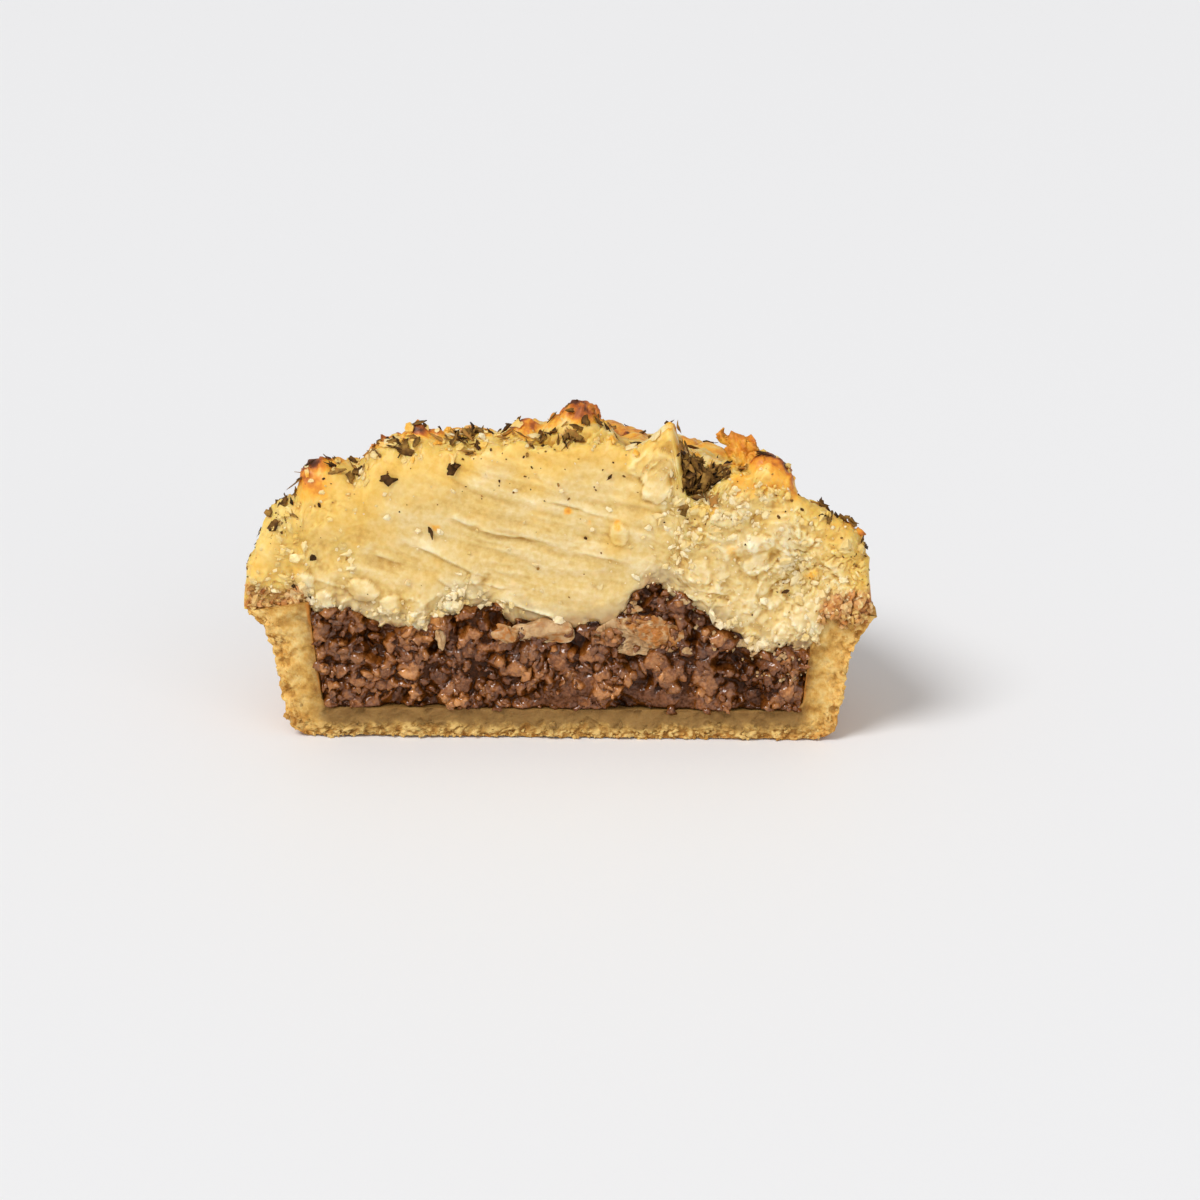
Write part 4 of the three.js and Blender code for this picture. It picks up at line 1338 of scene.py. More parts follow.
# %% Grains on the face of the filling
random = np.random.default_rng(11)
GRAINS, NEAR_PIECES = 300, 80
inside = np.argwhere((steak_tucked < 0.5) & (steak_forward > -0.6) & (ends > 0.99))
around = np.argwhere((by_pieces > 0.02) & (by_pieces < 0.5))
anywhere = inside[random.integers(0, len(inside), GRAINS - NEAR_PIECES)]
by_potato = around[random.integers(0, len(around), NEAR_PIECES)]
rows, columns = np.concatenate([anywhere, by_potato]).T
grain_spots = steak_face[rows, columns]
grain_sizes = random.uniform(0.35, 1.1, (GRAINS, 1)) * random.uniform(0.7, 1.3, (GRAINS, 3))
ball = ball_grid(7, 5)
ball_points = ball.shape[0] * ball.shape[1]
grain_shapes = dented(ball.reshape(-1, 3), GRAINS, 0.85, random)
facing = unit(np.array([0.0, -1.0, 0.0]) + random.normal(0, 0.35, (GRAINS, 3)))
loose_points = lay(grain_shapes, grain_spots, facing, grain_sizes, random, sink=0.65)
loose_shade = np.repeat(steak_shade[rows, columns] + random.normal(0, 0.15, GRAINS), ball_points)
# Painted light and shade on each loose grain: lighter where it stands towards the viewer, darker where it
# sinks
loose_depth_and_shade = steak_depth_and_shade[rows, columns][:, None] + 0.3 * (grain_spots[:, 1:2] - loose_points[..., 1])
make_piece(
    "loose_grains",
    loose_points,
    copies_faces(grid_faces(*ball.shape[:2]), ball_points, GRAINS),
    steak_finish,
    "mince",
    depth=np.clip(loose_depth_and_shade, 0, 1),
    shade=np.clip(loose_shade, 0, 1),
)

# %% [markdown]
# ## The pastry case
# The case is a profile turned round the axis: up the outside, over the rim, down the inside and across
# the floor. Half a turn makes the half case, and a second grid closes it at the cut, between the outer
# and the inner line of the profile. On the cut the relief is sandy, coarse along the bottom crust and
# fine where the dough stayed damp. A Screw modifier could turn the profile, but here each point also has
# to know how deep in the wall it lies.

# %% Profile of the case
PROFILE, THICK, TURNS = 230, 44, 150
FLARE = 7.15
FOOT_RADIUS = RIM_RADIUS - FLARE
WALL_SLOPE, FLARE_FROM = 0.16, 15


def outer_radius(z):
    """Outside of the wall: a straight slope, less an exponential at the foot, which rounds it in, plus the
    square of the height over the start of the flare."""
    flare = (RIM_RADIUS - FOOT_RADIUS - WALL_SLOPE * RIM_EDGE) / (RIM_EDGE - FLARE_FROM) ** 2
    sloping = FOOT_RADIUS + WALL_SLOPE * z + flare * np.maximum(0, z - FLARE_FROM) ** 2
    return sloping - 2.6 * np.exp(-z / 1.1)


def along_line(points, count):
    """Evenly spaced points along a broken line."""
    points = np.asarray(points, float)
    length = np.concatenate([[0], np.cumsum(np.linalg.norm(np.diff(points, axis=0), axis=1))])
    steps = np.linspace(0, length[-1], count)
    return np.stack([np.interp(steps, length, points[:, k]) for k in range(points.shape[1])], -1)


wall_z = np.linspace(RIM_EDGE, 0.0, 40)
outer_line = np.stack([outer_radius(wall_z), wall_z], -1)
outer_line = along_line(np.vstack([outer_line, [[0, 0]]]), PROFILE)
inner_z = np.linspace(CASE_HEIGHT, FLOOR + 1.5, 30)
inner_line = np.stack([cavity_radius(inner_z), inner_z], -1)
corner = cavity_radius(FLOOR)
floor_line = [[corner - 1.0, FLOOR + 0.25], [corner - 2.5, FLOOR], [0, FLOOR]]
inner_line = along_line(np.vstack([inner_line, floor_line]), PROFILE)
through = np.linspace(0, 1, THICK)[None, :, None]
section = outer_line[:, None] + (inner_line - outer_line)[:, None] * through
print("case section:", section.shape)

# %% Relief of the pastry


def sandy_relief(spots, layer):
    """Sandy relief: flakes, lumps and rough noise towards the outside, almost smooth in the doughy layer
    inside."""
    sandy = 0.5 * curds(spots, 1.2, 101) + 0.5 * lumps(spots, 0.95, 104) + 0.3 * rough(spots, 1.3, 102, 3)
    ragged_layer = layer + 0.15 * noise(spots, 3, 112)
    in_base = smooth_step(FLOOR + 1.0, FLOOR - 1.5, spots[..., 2])
    dry_base = smooth_step(0.4, 0.75, ragged_layer) * in_base
    dry = np.maximum(dry_base, 0.8 * smooth_step(0.35, 1.0, ragged_layer))
    soft = 0.5 * rough(spots, 3.2, 103, 4) - 0.45 * smooth_step(0.4, 0.7, noise(spots, 1.6, 113))
    return (0.12 + 0.88 * dry) * sandy + soft


def knobbly(spots, layer):
    """Moves the outside in and out by noise and lumps, and lifts parts of the bottom edge off the floor,
    while the inside stays where it is."""
    radius = np.hypot(spots[..., 0], spots[..., 1])
    push = 0.4 * noise(spots, 9, 105) + 0.5 * lumps(spots, 2.2, 106) + 0.7 * lumps(spots, 4.6, 114)
    push = push + 0.36 * curds(spots, 1.4, 116) * smooth_step(5, 1, spots[..., 1])
    push = push * layer**3 * smooth_step(0.2, 2.0, spots[..., 2]) * smooth_step(30, 42, radius)
    lift = 0.9 * np.maximum(0, lumps(spots, 1.6, 110)) * layer**6 * smooth_step(1.5, 0.0, spots[..., 2])
    moved = spots * (1 + push / np.maximum(radius, 5))[..., None]
    moved[..., 2] = spots[..., 2] + lift
    return moved


print("relief at one place of the outer layer:", sandy_relief(ON_CUT, 1.0).round(2), "mm")

# %% The cut of the case
cut_x = np.concatenate([-section[:, :, 0], section[::-1][1:, :, 0]])
cut_z = np.concatenate([section[:, :, 1], section[::-1][1:, :, 1]])
cut_layer = np.broadcast_to(1 - np.linspace(0, 1, THICK), cut_x.shape)
cut_flat = np.stack([cut_x, 0 * cut_x, cut_z], -1)
rim_fade = np.minimum(1, np.minimum(cut_layer, 1 - cut_layer) / 0.04)
case_relief = sandy_relief(cut_flat, cut_layer) * rim_fade
cut_points = knobbly(cut_flat, cut_layer)
cut_points[..., 1] -= case_relief
print("relief of the cut from", case_relief.min().round(2), "to", case_relief.max().round(2), "mm")

# %% The outside and the inside, half a turn round the axis
loop = np.concatenate([outer_line[::-1], section[0, 1:-1], inner_line])
loop_layer = np.concatenate([np.ones(PROFILE), np.linspace(1, 0, THICK)[1:-1], np.zeros(PROFILE)])
turn = np.linspace(0, np.pi, TURNS)
round_flat = np.stack([loop[:, :1] * np.cos(turn), loop[:, :1] * np.sin(turn), loop[:, 1:] + 0 * turn], -1)
round_layer = loop_layer[:, None] + 0 * turn
round_points = knobbly(round_flat, round_layer)
print("grids of the cut and of the half turn:", cut_points.shape, round_points.shape)

# %% Colour values of the case and its mesh object
all_points = np.concatenate([cut_points.reshape(-1, 3), round_points.reshape(-1, 3)])
all_faces = np.concatenate([grid_faces(*cut_x.shape)[:, ::-1], grid_faces(*round_layer.shape) + cut_x.size])
all_layer = np.concatenate([cut_layer.ravel(), round_layer.ravel()])
# How far the sandy relief stands out, which the finish paints as light and shade
all_raised = np.concatenate([raised_of(1.6 * case_relief).ravel(), np.full(round_layer.size, 0.5)])
all_radius = np.hypot(all_points[:, 0], all_points[:, 1])
all_z = all_points[:, 2]
in_bottom = smooth_step(FLOOR + 2.5, FLOOR - 1.0, all_z)
in_bottom = in_bottom * smooth_step(CAVITY + 1.5, CAVITY - 3.0, all_radius)
low_crust = smooth_step(1.6, 0.1, all_z + 0.9 * noise(all_points, 2.5, 107))
corner_brown = smooth_step(42, 50, all_radius) * smooth_step(9, 1, all_z)
outer_brown = 0.42 + 0.25 * smooth_step(14, 2, all_z) + 0.25 * noise(all_points, 11, 115)
outer_brown = outer_brown * (all_layer > 0.985) * smooth_step(2, 14, all_points[:, 1])
gravy_top = np.where(all_points[:, 0] < 0, 26.0, 17.0)
by_gravy = smooth_step(0.10, 0.0, all_layer + 0.05 * noise(all_points, 3, 108))
by_gravy = by_gravy * smooth_step(FLOOR, FLOOR + 4, all_z)
by_gravy = by_gravy * smooth_step(gravy_top + 2, gravy_top - 2, all_z)
make_piece(
    "pastry_case",
    all_points,
    all_faces,
    pastry_finish,
    "pastry",
    stands_for=["crust"],
    layer=all_layer,
    bottom=in_bottom,
    raised=all_raised,
    browned=np.clip(0.5 * low_crust + 0.6 * corner_brown + outer_brown + 0.9 * by_gravy, 0, 1),
)

# %% [markdown]
# ## Potato pieces in the filling
# Two pieces of potato show where the knife went through them: a thin pale slice left of the middle and a
# larger browned lump right of it. Each is a ball grid pressed flat at the cut, with dents from noise. A
# ball cut by a Boolean would have a flat face with no points inside for the relief to move.

# %% Shape of a potato piece


def potato_piece(solid, broken, sinks, slant, seed):
    """A ball stretched to a solid's box: |x| ** 0.75 and |z| ** 0.75 make it blockier and noise bends it.
    Its front is a pad on the cut, (1 - reach ** 6) ** 0.5 deep, with reach the share of the way to the
    outline, and its relief is swells plus the given share of torn ledges and curds. Towards its lower
    edge, which slants, the front sinks back by sinks millimetres, under the grains."""
    low, high = box_mm(solid)
    low, high = low - AXIS, high - AXIS
    middle = (low + high) / 2
    half = np.array([(high[0] - low[0]) / 2, high[1], (high[2] - low[2]) / 2])
    shape = ball_grid(140, 70)[..., [0, 2, 1]]
    reach = np.hypot(shape[..., 0], shape[..., 2])
    blocky = np.sign(shape) * np.abs(shape) ** [0.75, 1, 0.75]
    spots = bent(blocky * half + middle * [1, 0, 1], 2.6, 0.45, seed + 20)
    flat = spots * [1, 0, 1]
    relief = 1.4 * ledges(flat, 4.0, seed + 12) + 0.35 * curds(flat, 1.1, seed + 14)
    rounded_off = np.sqrt(np.maximum(0, 1 - reach**6))
    pad = np.maximum(0.1, 0.6 + 0.4 * noise(flat, 3.0, seed + 7) + broken * relief) * rounded_off
    sunk = sinks * smooth_step(0.0, -0.9, blocky[..., 2] + slant * blocky[..., 0]) * rounded_off
    spots[..., 1] = np.where(shape[..., 1] < 0, sunk - pad, spots[..., 1])
    spots[:, -1] = spots[:, 0]
    return spots


slice_points = potato_piece("potato_slice", broken=0.1, sinks=1.0, slant=-0.35, seed=120)
lump_points = potato_piece("potato_lump", broken=1.0, sinks=0.9, slant=0.4, seed=160)
print("grids of the slice and the lump:", slice_points.shape, lump_points.shape)

# %% The slice, browner towards its lower edge
SLICE_BROWN_Z = 20
slice_brown = slice_points[..., 2] - SLICE_BROWN_Z + 0.7 * noise(slice_points, 2, 128)
slice_brown = smooth_step(1.5, -2, slice_brown)
make_piece(
    "pale_potato_slice", slice_points, grid_faces(*slice_points.shape[:2]), potato_finish, "potato",
    stands_for=["potato_slice"], browned=0.1 + 0.3 * slice_brown,
)

# %% The lump, browner towards the upper right
LUMP_BROWN_X, LUMP_BROWN_Z = 14, 20
lump_brown = lump_points[..., 0] - LUMP_BROWN_X + 1.2 * (lump_points[..., 2] - LUMP_BROWN_Z)
lump_brown = smooth_step(-3.5, 3, lump_brown)
make_piece(
    "browned_potato_lump", lump_points, grid_faces(*lump_points.shape[:2]), potato_finish, "potato",
    stands_for=["potato_lump"], browned=0.62 * lump_brown,
)

# %% [markdown]
# ## Dried herbs
# The herbs lie in drifts along the upper edge and thinly everywhere else, and a loose ball of them fills
# the hollow at the right. A flake is a narrow curled leaf: a flat ball grid bent along its length.
# Places are drawn from the mound's own grid, weighted by how near they are to a drift, so every flake
# lies on the potato or on the heap.

# %% Places on the upper side of the mound
random = np.random.default_rng(23)
EDGE_ROWS = 36
upper_points = np.concatenate([face_points[-EDGE_ROWS:], top_points])
upper_share = np.concatenate([over_edge[-EDGE_ROWS:], np.ones_like(top_y)])
upper_normals = grid_normals(upper_points)
upper_normals *= np.sign(upper_normals[..., 2:] + 1e-6)
upper_steps = np.gradient(upper_points, axis=1), np.gradient(upper_points, axis=0)
upper_area = np.linalg.norm(np.cross(*upper_steps), axis=-1)


def drawn_from(weight, count):
    """Rows and columns of a grid, drawn at random in proportion to a weight."""
    picked = random.choice(weight.size, count, p=(weight / weight.sum()).ravel())
    return np.unravel_index(picked, weight.shape)


def drawn_places(x, y, spread, count, heap):
    """Rows and columns of the grid of the rounding and the top, drawn by a bell-shaped weight round a
    place, and how high each flake lies in the heap: highest in the middle, and spread evenly from the
    potato up."""
    apart = np.hypot(upper_points[..., 0] - x, upper_points[..., 1] - y) / spread
    rows, columns = drawn_from(np.exp(-(apart**2)) * upper_area * upper_share, count)
    lift = heap * random.uniform(0, 1, count) * np.exp(-(apart[rows, columns] ** 2))
    return rows, columns, lift


def drawn_heaps(heaps):
    """Places of the things in all heaps, the normals of the potato under them, and how high each lies."""
    drawn = [drawn_places(*heap) for heap in heaps]
    rows, columns, lift = (np.concatenate(picked) for picked in zip(*drawn))
    upright = upper_normals[rows, columns]
    return upper_points[rows, columns] + lift[:, None] * upright, upright, lift


print("upper side of the mound:", (upper_area.sum() / 100).round(1), "square centimetres")

# %% Shape of a leaf
LEAF_CELLS = 6


def leaf_shape():
    """A dried leaf: a flat ball with its ends drawn to points, bent along its length and rolled up at its
    sides."""
    leaf = ball_grid(LEAF_CELLS, LEAF_CELLS)[..., [2, 1, 0]].reshape(-1, 3)
    leaf[:, 1] = leaf[:, 1] * (1 - 0.55 * np.abs(leaf[:, 0]))
    leaf[:, 2] = 0.6 * leaf[:, 2] + leaf[:, 0] ** 2 + 1.6 * leaf[:, 1] ** 2
    return leaf


leaf = leaf_shape()
leaf_faces = grid_faces(LEAF_CELLS + 1, LEAF_CELLS + 1)
print("points of a leaf:", len(leaf))

# %% Flakes of herb on the mound
DRIFTS = [
    # place x and y, spread, flakes, height of the heap
    (-51.5, 2.0, 2.5, 6, 0.0), (-47.5, 3.0, 3.0, 9, 0.0), (-42, 3.5, 3.5, 9, 0.0), (-36, 4.5, 3.5, 8, 0.0),
    (-30, 4.0, 3.0, 12, 0.2), (-26, 4.5, 3.0, 8, 0.0), (-16.5, 5.5, 3.2, 40, 1.0), (-10, 5.5, 2.5, 10, 0.3),
    (-3.5, 3.5, 1.6, 10, 0.3), (1.8, 2.2, 1.5, 14, 0.4), (10, 6.0, 4.0, 4, 0.0),
    (24.4, 2.0, 2.4, 90, 1.5), (28.5, 4.0, 2.5, 8, 0.2), (33.5, 5.0, 1.8, 7, 0.2), (45, 4.0, 3.5, 9, 0.0),
    (50.5, 4.0, 2.5, 8, 0.0), (0, 25, 40, 70, 0.0),
]
BALL_MIDDLE, BALL_HALF, BALL_FLAKES = np.array([23.2, 2.4, 49.4]), np.array([3.2, 2.4, 3.6]), 130
herb_places, upright, herb_lift = drawn_heaps(DRIFTS)
untidy = 0.22 + 0.5 * np.minimum(1, herb_lift)
herb_normals = upright + untidy[:, None] * random.normal(0, 1, upright.shape)
herb_normals = np.concatenate([herb_normals, random.normal(0, 1, (BALL_FLAKES, 3)) + [0, -1.0, 0.6]])
herb_normals = unit(herb_normals)
in_ball = unit(random.normal(0, 1, (BALL_FLAKES, 3))) * random.uniform(0, 1, (BALL_FLAKES, 1)) ** (1 / 3)
herb_places = np.concatenate([herb_places, BALL_MIDDLE + in_ball * BALL_HALF])
herb_count = len(herb_places)
NEEDLES = 0.55
needle_sizes = random.uniform([0.7, 0.16, 0.12], [1.7, 0.36, 0.22], (herb_count, 3))
leaf_sizes = random.uniform([0.7, 0.5, 0.14], [1.5, 0.95, 0.30], (herb_count, 3))
herb_sizes = np.where(random.uniform(0, 1, (herb_count, 1)) < NEEDLES, needle_sizes, leaf_sizes)
leaf_shapes = dented(leaf, herb_count, 0.8, random, 0.6)
leaf_points = lay(leaf_shapes, herb_places, herb_normals, herb_sizes, random, sink=0.1)
leaf_tone = np.clip(random.normal(0.57, 0.28, (herb_count, 1)), 0, 1) + 0.2 * leaf_shapes[..., 1]
make_piece(
    "herb_flakes",
    leaf_points,
    copies_faces(leaf_faces, len(leaf), herb_count),
    herb_finish,
    "mash",
    tone=np.clip(leaf_tone, 0, 1),
)

# %% [markdown]
# ## Specks and crumbs
# Tiny specks of herb dot the cut and the top, and crumbs of potato and pastry cling where the knife tore
# them loose: in clusters where the potato broke, baked along its upper edge, stained on the rim. They are
# dented balls with few faces, laid on the grids of the pieces that carry them.

# %% Places on the cut of the mound
face_normals = grid_normals(face_points)
face_normals *= -np.sign(face_normals[..., 1:2] - 1e-6)
face_area = np.gradient(face_z, axis=0) * np.gradient(slice_x)


def face_place(x, z):
    """Row and column of the point of the face's grid nearest to a place on the cut."""
    column = np.abs(slice_x - x).argmin()
    return np.abs(face_z[:, column] - z).argmin(), column


def face_places(count, dropped=0.0):
    """Rows and columns of the face's grid, drawn evenly over its area. Where the potato smeared and didn't
    break, the given share of them is dropped again."""
    rows, columns = drawn_from(face_area * (tucked < 0.4) * (np.abs(slice_x) < MOUND_RADIUS - 2), count)
    kept = (broken_share(face[rows, columns]) > 0.5) | (random.uniform(0, 1, count) > dropped)
    return rows[kept], columns[kept]


def on_face(rows, columns):
    """Points of the mound on the cut and their normals."""
    return face_points[rows, columns], face_normals[rows, columns]


print("cut of the mound:", (face_area.sum() / 100).round(1), "square centimetres")

# %% One function for all crumbs
small_ball = ball_grid(6, 4)


def crumbs(
    name, places, normals, sizes, finish, slot, sink, shape=small_ball, turned=True, smooth=False, **values
):
    """Dented balls of the given sizes on a surface, as one piece, with broken faces unless they are
    smooth. None reaches below the floor that the pie stands on."""
    count = len(places)
    shapes = dented(shape.reshape(-1, 3), count, 0.7, random)
    points = lay(shapes, places, normals, sizes, random, sink, turned)
    points[..., 2] = np.maximum(points[..., 2], 0)
    each = shapes.shape[1]
    faces = copies_faces(grid_faces(*shape.shape[:2]), each, count)
    spread = {key: np.repeat(value, each) for key, value in values.items()}
    make_piece(name, points, faces, finish, slot, smooth=smooth, **spread)


print("grid of a crumb:", small_ball.shape)

# %% Flakes of herb on the cut
FACE_BITS = [
    # place x and z on the cut, half length, half width, tone
    (8.5, 50.0, 0.8, 0.35, 0.35), (-18.9, 51.0, 1.5, 1.0, 0.3), (-30.3, 48.6, 1.2, 0.8, 0.3),
    (-23.0, 39.2, 1.1, 0.5, 0.3), (21.4, 43.8, 1.5, 0.9, 0.72), (26.0, 45.8, 1.9, 0.7, 1.0),
    (27.2, 45.2, 1.2, 0.6, 1.0), (22.0, 47.0, 2.4, 0.3, 0.4), (-43.9, 34.0, 0.6, 0.4, 0.2),
    (-47.2, 28.8, 0.5, 0.4, 0.2), (40.2, 28.2, 0.6, 0.35, 0.3), (4.3, 38.2, 0.35, 0.25, 0.3),
]
bit_rows, bit_columns = np.array([face_place(x, z) for x, z, *_ in FACE_BITS]).T
bit_sizes = np.array([(length, width, 0.25) for _, _, length, width, _ in FACE_BITS])
bit_shapes = dented(leaf, len(FACE_BITS), 1.0, random, 0.6)
bit_points = lay(bit_shapes, *on_face(bit_rows, bit_columns), bit_sizes, random, sink=0.0)
make_piece(
    "herbs_on_the_cut",
    bit_points,
    copies_faces(leaf_faces, len(leaf), len(FACE_BITS)),
    herb_finish,
    "mash",
    tone=np.repeat([tone for *_, tone in FACE_BITS], len(leaf)),
)

# %% Specks of herb
CUT_SPECKS, TOP_SPECKS = 42, 180
SPECK_ROWS, SPECK_MARGIN = 60, 20
rows, columns = face_places(CUT_SPECKS)
top_rows = random.integers(0, SPECK_ROWS, TOP_SPECKS)
top_columns = random.integers(SPECK_MARGIN, COLUMNS - SPECK_MARGIN, TOP_SPECKS)
speck_places = np.concatenate([face_points[rows, columns], upper_points[top_rows, top_columns]])
speck_normals = np.concatenate([face_normals[rows, columns], upper_normals[top_rows, top_columns]])
speck_sizes = random.gamma(2.0, 0.045, (len(speck_places), 1)) * np.array([1.7, 1.0, 0.6]) + 0.05
crumbs(
    "herb_specks", speck_places, speck_normals, speck_sizes, herb_finish, "mash", sink=0.3,
    tone=random.uniform(0.1, 0.9, len(speck_places)),
)

# %% Crumbs of potato on the cut
CUT_CRUMBS, SMEARED_DROPPED = 900, 0.8
rows, columns = face_places(CUT_CRUMBS, SMEARED_DROPPED)
crumb_sizes = random.gamma(1.7, 0.1, (len(rows), 1)) * random.uniform(0.6, 1.4, (len(rows), 3)) + 0.08
crumbs(
    "potato_crumbs", *on_face(rows, columns), crumb_sizes, crumb_finish, "mash", sink=0.4,
    browned=0 * rows, baked=0 * rows, stained=0 * rows, raised=random.uniform(0.4, 0.85, len(rows)),
)

# %% Torn crumbs in clusters where the potato broke
TORN_CRUMBS = 480
LARGEST_CRUMB = 0.95
clusters = smooth_step(-0.1, 0.5, noise(face, 4.5, 181) + 0.4 * noise(face, 1.8, 182))
below_crust = smooth_step(50, 45, face_z) * (1 - 0.8 * smooth_step(39, 46, slice_x))
torn_weight = face_area * (tucked < 0.3) * broken_share(face) * clusters * below_crust
rows, columns = drawn_from(torn_weight, TORN_CRUMBS)
torn_sizes = np.minimum(0.2 + random.gamma(2.4, 0.17, (TORN_CRUMBS, 1)), 1.2 * LARGEST_CRUMB)
torn_sizes = torn_sizes * random.uniform([0.7, 0.5, 0.4], [1.3, 1.0, 0.8], (TORN_CRUMBS, 3))
crumbs(
    "torn_crumbs", *on_face(rows, columns), torn_sizes, crumb_finish, "mash", sink=0.6,
    browned=0 * rows, baked=np.clip(face_baked[rows, columns], 0, 1),
    stained=0.5 * face_stained[rows, columns], raised=random.uniform(0.5, 0.95, TORN_CRUMBS),
)

# %% Crumbs of baked potato along the upper edge
EDGE_CRUMBS = [
    # place x and y, spread, crumbs, height of the heap
    (-44, 3.0, 5, 16, 0), (-36, 3.5, 5, 24, 0), (-28, 3.5, 5, 30, 0.2), (-21, 4.0, 5, 34, 0.2),
    (-13, 4.5, 5, 28, 0.2), (-5, 3.0, 3, 10, 0), (8, 2.5, 3, 8, 0), (15, 3.0, 4, 12, 0),
    (30, 3.5, 4, 8, 0), (39, 3.5, 4, 6, 0), (48, 3.0, 4, 10, 0),
]
edge_places, upright, _ = drawn_heaps(EDGE_CRUMBS)
count = len(edge_places)
edge_sizes = np.minimum(0.12 + random.gamma(2.2, 0.22, (count, 1)), LARGEST_CRUMB)
edge_sizes = edge_sizes * random.uniform([0.8, 0.5, 0.3], [1.4, 1.0, 0.6], (count, 3))
crumbs(
    "edge_crumbs", edge_places, upright, edge_sizes, crumb_finish, "mash", sink=0.45, shape=ball_grid(7, 5),
    browned=np.maximum(0, random.normal(0.05, 0.14, count)), baked=random.uniform(0.2, 1, count),
    stained=np.zeros(count), raised=random.uniform(0.4, 0.9, count),
)

# %% Stained crumbs where potato and rim meet
RIM_CRUMBS = 170
over_rim = np.exp(-((face_z - seam_z) ** 2)) * (slice_x < 0)
stain_weight = face_area * (face_stained + 3 * over_rim) * (np.abs(slice_x) > CAVITY + 1)
rows, columns = drawn_from(stain_weight, RIM_CRUMBS)
rim_sizes = random.gamma(2.5, 0.13, (RIM_CRUMBS, 1)) * random.uniform(0.6, 1.3, (RIM_CRUMBS, 3)) + 0.12
crumbs(
    "stained_crumbs", *on_face(rows, columns), rim_sizes, crumb_finish, "mash", sink=0.4,
    browned=np.zeros(RIM_CRUMBS), baked=np.full(RIM_CRUMBS, 0.4),
    stained=random.uniform(0.4, 1.2, RIM_CRUMBS), raised=random.uniform(0.25, 0.8, RIM_CRUMBS),
)

# %% Crumbs of pastry on the cut of the case


def cut_normals(count):
    """Normals of the flat cut, one for each of so many places."""
    return np.tile([0.0, -1.0, 0.0], (count, 1))


PASTRY_CRUMBS = 420
rows = random.integers(2, cut_x.shape[0] - 2, PASTRY_CRUMBS)
columns = (0.5 * THICK * random.uniform(0, 1, PASTRY_CRUMBS) ** 2).astype(int) + 1
pastry_sizes = random.gamma(2.0, 0.07, (PASTRY_CRUMBS, 1))
pastry_sizes = pastry_sizes * random.uniform(0.7, 1.3, (PASTRY_CRUMBS, 3)) + 0.08
crumbs(
    "pastry_crumbs", cut_points[rows, columns], cut_normals(PASTRY_CRUMBS), pastry_sizes, pastry_finish,
    "pastry", sink=0.5, layer=cut_layer[rows, columns], bottom=smooth_step(8, 5, cut_z[rows, columns]),
    raised=random.uniform(0.5, 0.8, PASTRY_CRUMBS), browned=random.uniform(0, 0.6, PASTRY_CRUMBS) ** 2,
)

# %% Bits of potato in the filling
PALE_BITS = 46
near_top = (steak_tucked < 0.8) & (steak_z > filling_top(steak_x, 0.0) - 6)
inside = np.argwhere(near_top & (steak_x > 12) & (steak_x < 44))
rows, columns = inside[random.integers(0, len(inside), PALE_BITS)].T
pale_sizes = random.gamma(3.0, 0.09, (PALE_BITS, 1)) * random.uniform(0.6, 1.3, (PALE_BITS, 3)) + 0.1
crumbs(
    "pale_potato_bits", steak_face[rows, columns], cut_normals(PALE_BITS), pale_sizes, potato_finish,
    "potato", sink=0.35, browned=random.uniform(-0.2, 0.3, PALE_BITS),
)

# %% Larger bits that show on the cut of the filling
SEEN_BITS = [
    # place x and z, half width, half height, browning
    (-9.6, 20.8, 2.1, 1.7, 0.42), (31.4, 18.2, 2.4, 0.7, -0.1), (29.5, 21.0, 1.2, 0.7, -0.2),
    (22.4, 17.4, 0.9, 0.6, 0.0), (21.6, 26.6, 0.8, 0.5, -0.2), (8.6, 23.2, 2.0, 0.8, 0.1),
    (12.4, 24.6, 1.4, 0.7, 0.3), (42.0, 17.6, 1.0, 0.7, 0.0), (-21.5, 19.6, 0.8, 1.8, -0.1),
]
seen_x, seen_z, seen_width, seen_height, seen_brown = np.array(SEEN_BITS).T
columns = np.abs(steak_x[STEAK_ROWS // 2] - seen_x[:, None]).argmin(1)
rows = np.abs(steak_z[:, columns] - seen_z).argmin(0)
seen_sizes = np.stack([seen_width, seen_height, 0.5 * seen_height], -1)
crumbs(
    "larger_potato_bits", steak_face[rows, columns], cut_normals(len(rows)), seen_sizes, potato_finish,
    "potato", sink=0.4, shape=ball_grid(28, 20), turned=False, smooth=True, browned=seen_brown,
)

# %% [markdown]
# ## Floor, light and camera
# A pale floor and large soft lights give the even studio light of a food picture: a main light high at
# the left, a weaker one from the front right, and a bright surrounding. Area lights could do it, but suns
# with a wide angle are as soft and light every spot evenly. The camera looks down by about twenty degrees
# through a long lens.

# %% Floor and light


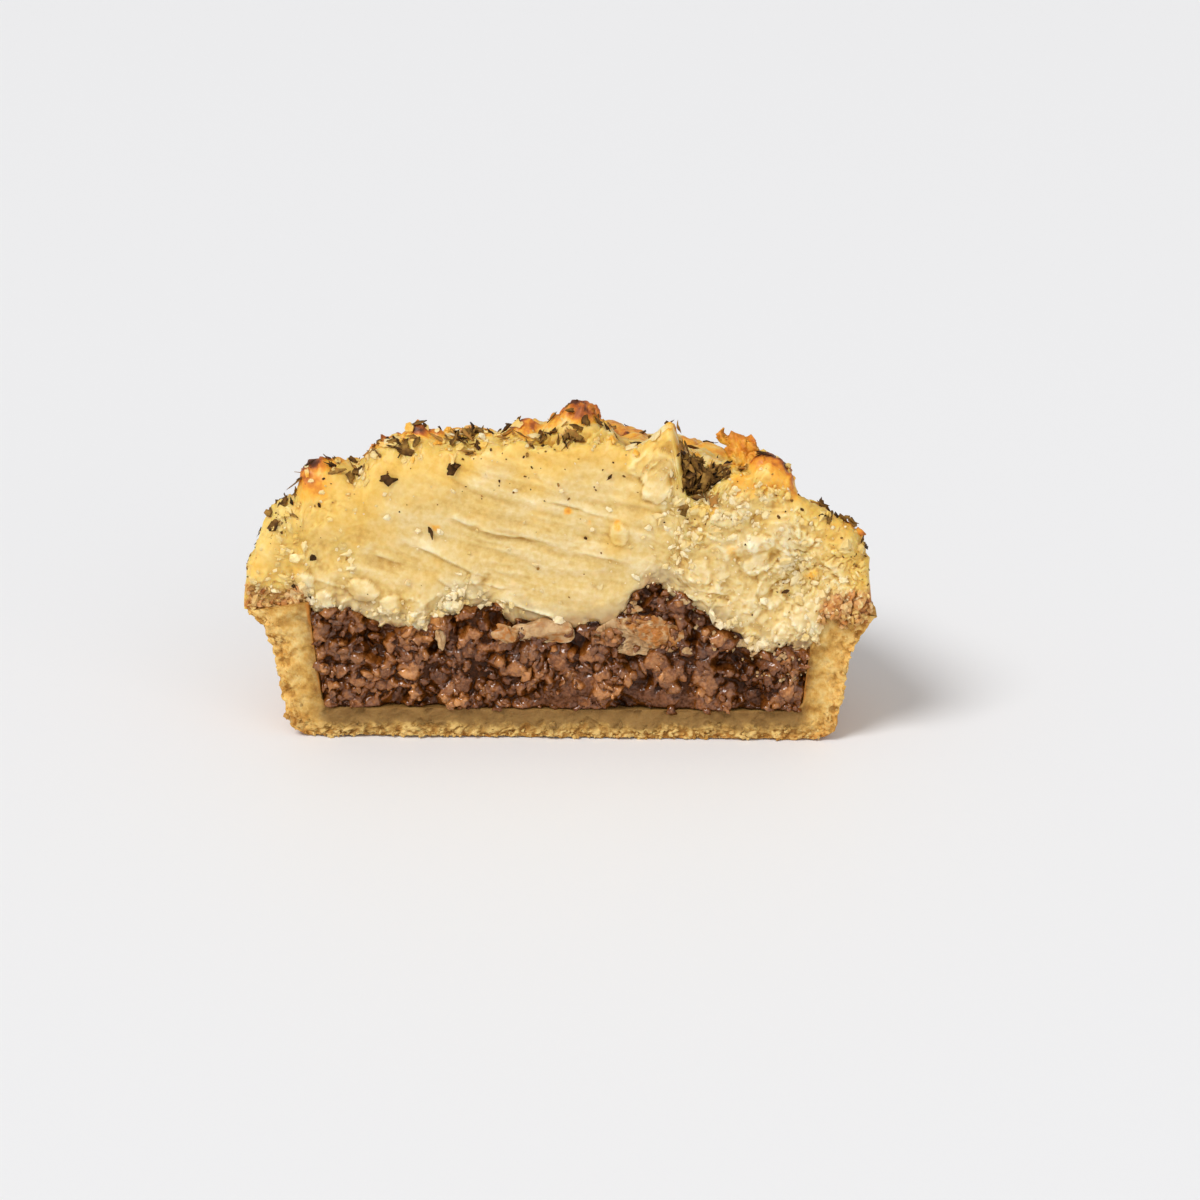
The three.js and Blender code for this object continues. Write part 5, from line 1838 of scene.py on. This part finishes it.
def stage_floor():
    """A wide pale floor under the pie: four corners joined by one face."""
    half = 4.0
    corners = [(-half, -half, 0), (half, -half, 0), (half, half, 0), (-half, half, 0)]
    mesh = bpy.data.meshes.new("studio_floor")
    mesh.from_pydata(corners, [], [(0, 1, 2, 3)])
    floor = bpy.data.objects.new("studio_floor", mesh)
    bpy.context.scene.collection.objects.link(floor)
    finish, *_ = new_finish("pale studio floor", base_color=rgb(0.86, 0.86, 0.87), roughness=0.6)
    mesh.materials.append(finish)


def soft_sun(name, azimuth, elevation, strength, spread):
    """A wide soft light from a direction in degrees: azimuth 0 is the viewer's side, positive to the
    right."""
    lamp = bpy.data.lights.new(name, "SUN")
    lamp.energy = strength
    lamp.angle = np.radians(spread)
    light = bpy.data.objects.new(name, lamp)
    side, rise = np.radians(azimuth), np.radians(elevation)
    way = Vector((np.sin(side) * np.cos(rise), -np.cos(side) * np.cos(rise), np.sin(rise)))
    light.rotation_euler = way.to_track_quat("Z", "Y").to_euler()
    bpy.context.scene.collection.objects.link(light)


stage_floor()
soft_sun("main_light", azimuth=-45, elevation=50, strength=2.1, spread=25)
soft_sun("front_light", azimuth=25, elevation=18, strength=0.8, spread=60)
SURROUNDING_STRENGTH = 0.44
world = bpy.data.worlds.new("studio")
world.use_nodes = True
background = world.node_tree.nodes["Background"]
background.inputs["Color"].default_value = rgb(1.0, 1.0, 1.0)
background.inputs["Strength"].default_value = SURROUNDING_STRENGTH
bpy.context.scene.world = world
bpy.context.scene.view_settings.view_transform = "Standard"
print("lights and floor are set")

# %% Camera
AZIMUTH, ELEVATION, DISTANCE = np.radians(1.44), np.radians(19.8), 533.0
TARGET = np.array([6.9, 0.0, 26.6])
FOCAL_LENGTH, SENSOR_WIDTH = 90, 36
toward_viewer = np.array(
    [np.sin(AZIMUTH) * np.cos(ELEVATION), -np.cos(AZIMUTH) * np.cos(ELEVATION), np.sin(ELEVATION)]
)
lens = bpy.data.cameras.new("camera")
lens.lens = FOCAL_LENGTH
lens.sensor_width = SENSOR_WIDTH
camera = bpy.data.objects.new("camera", lens)
camera.location = (AXIS + TARGET + DISTANCE * toward_viewer) * MM
camera.rotation_euler = Vector(-toward_viewer).to_track_quat("-Z", "Y").to_euler()
bpy.context.scene.collection.objects.link(camera)
bpy.context.scene.camera = camera
print("camera at", tuple(round(value, 3) for value in camera.location))
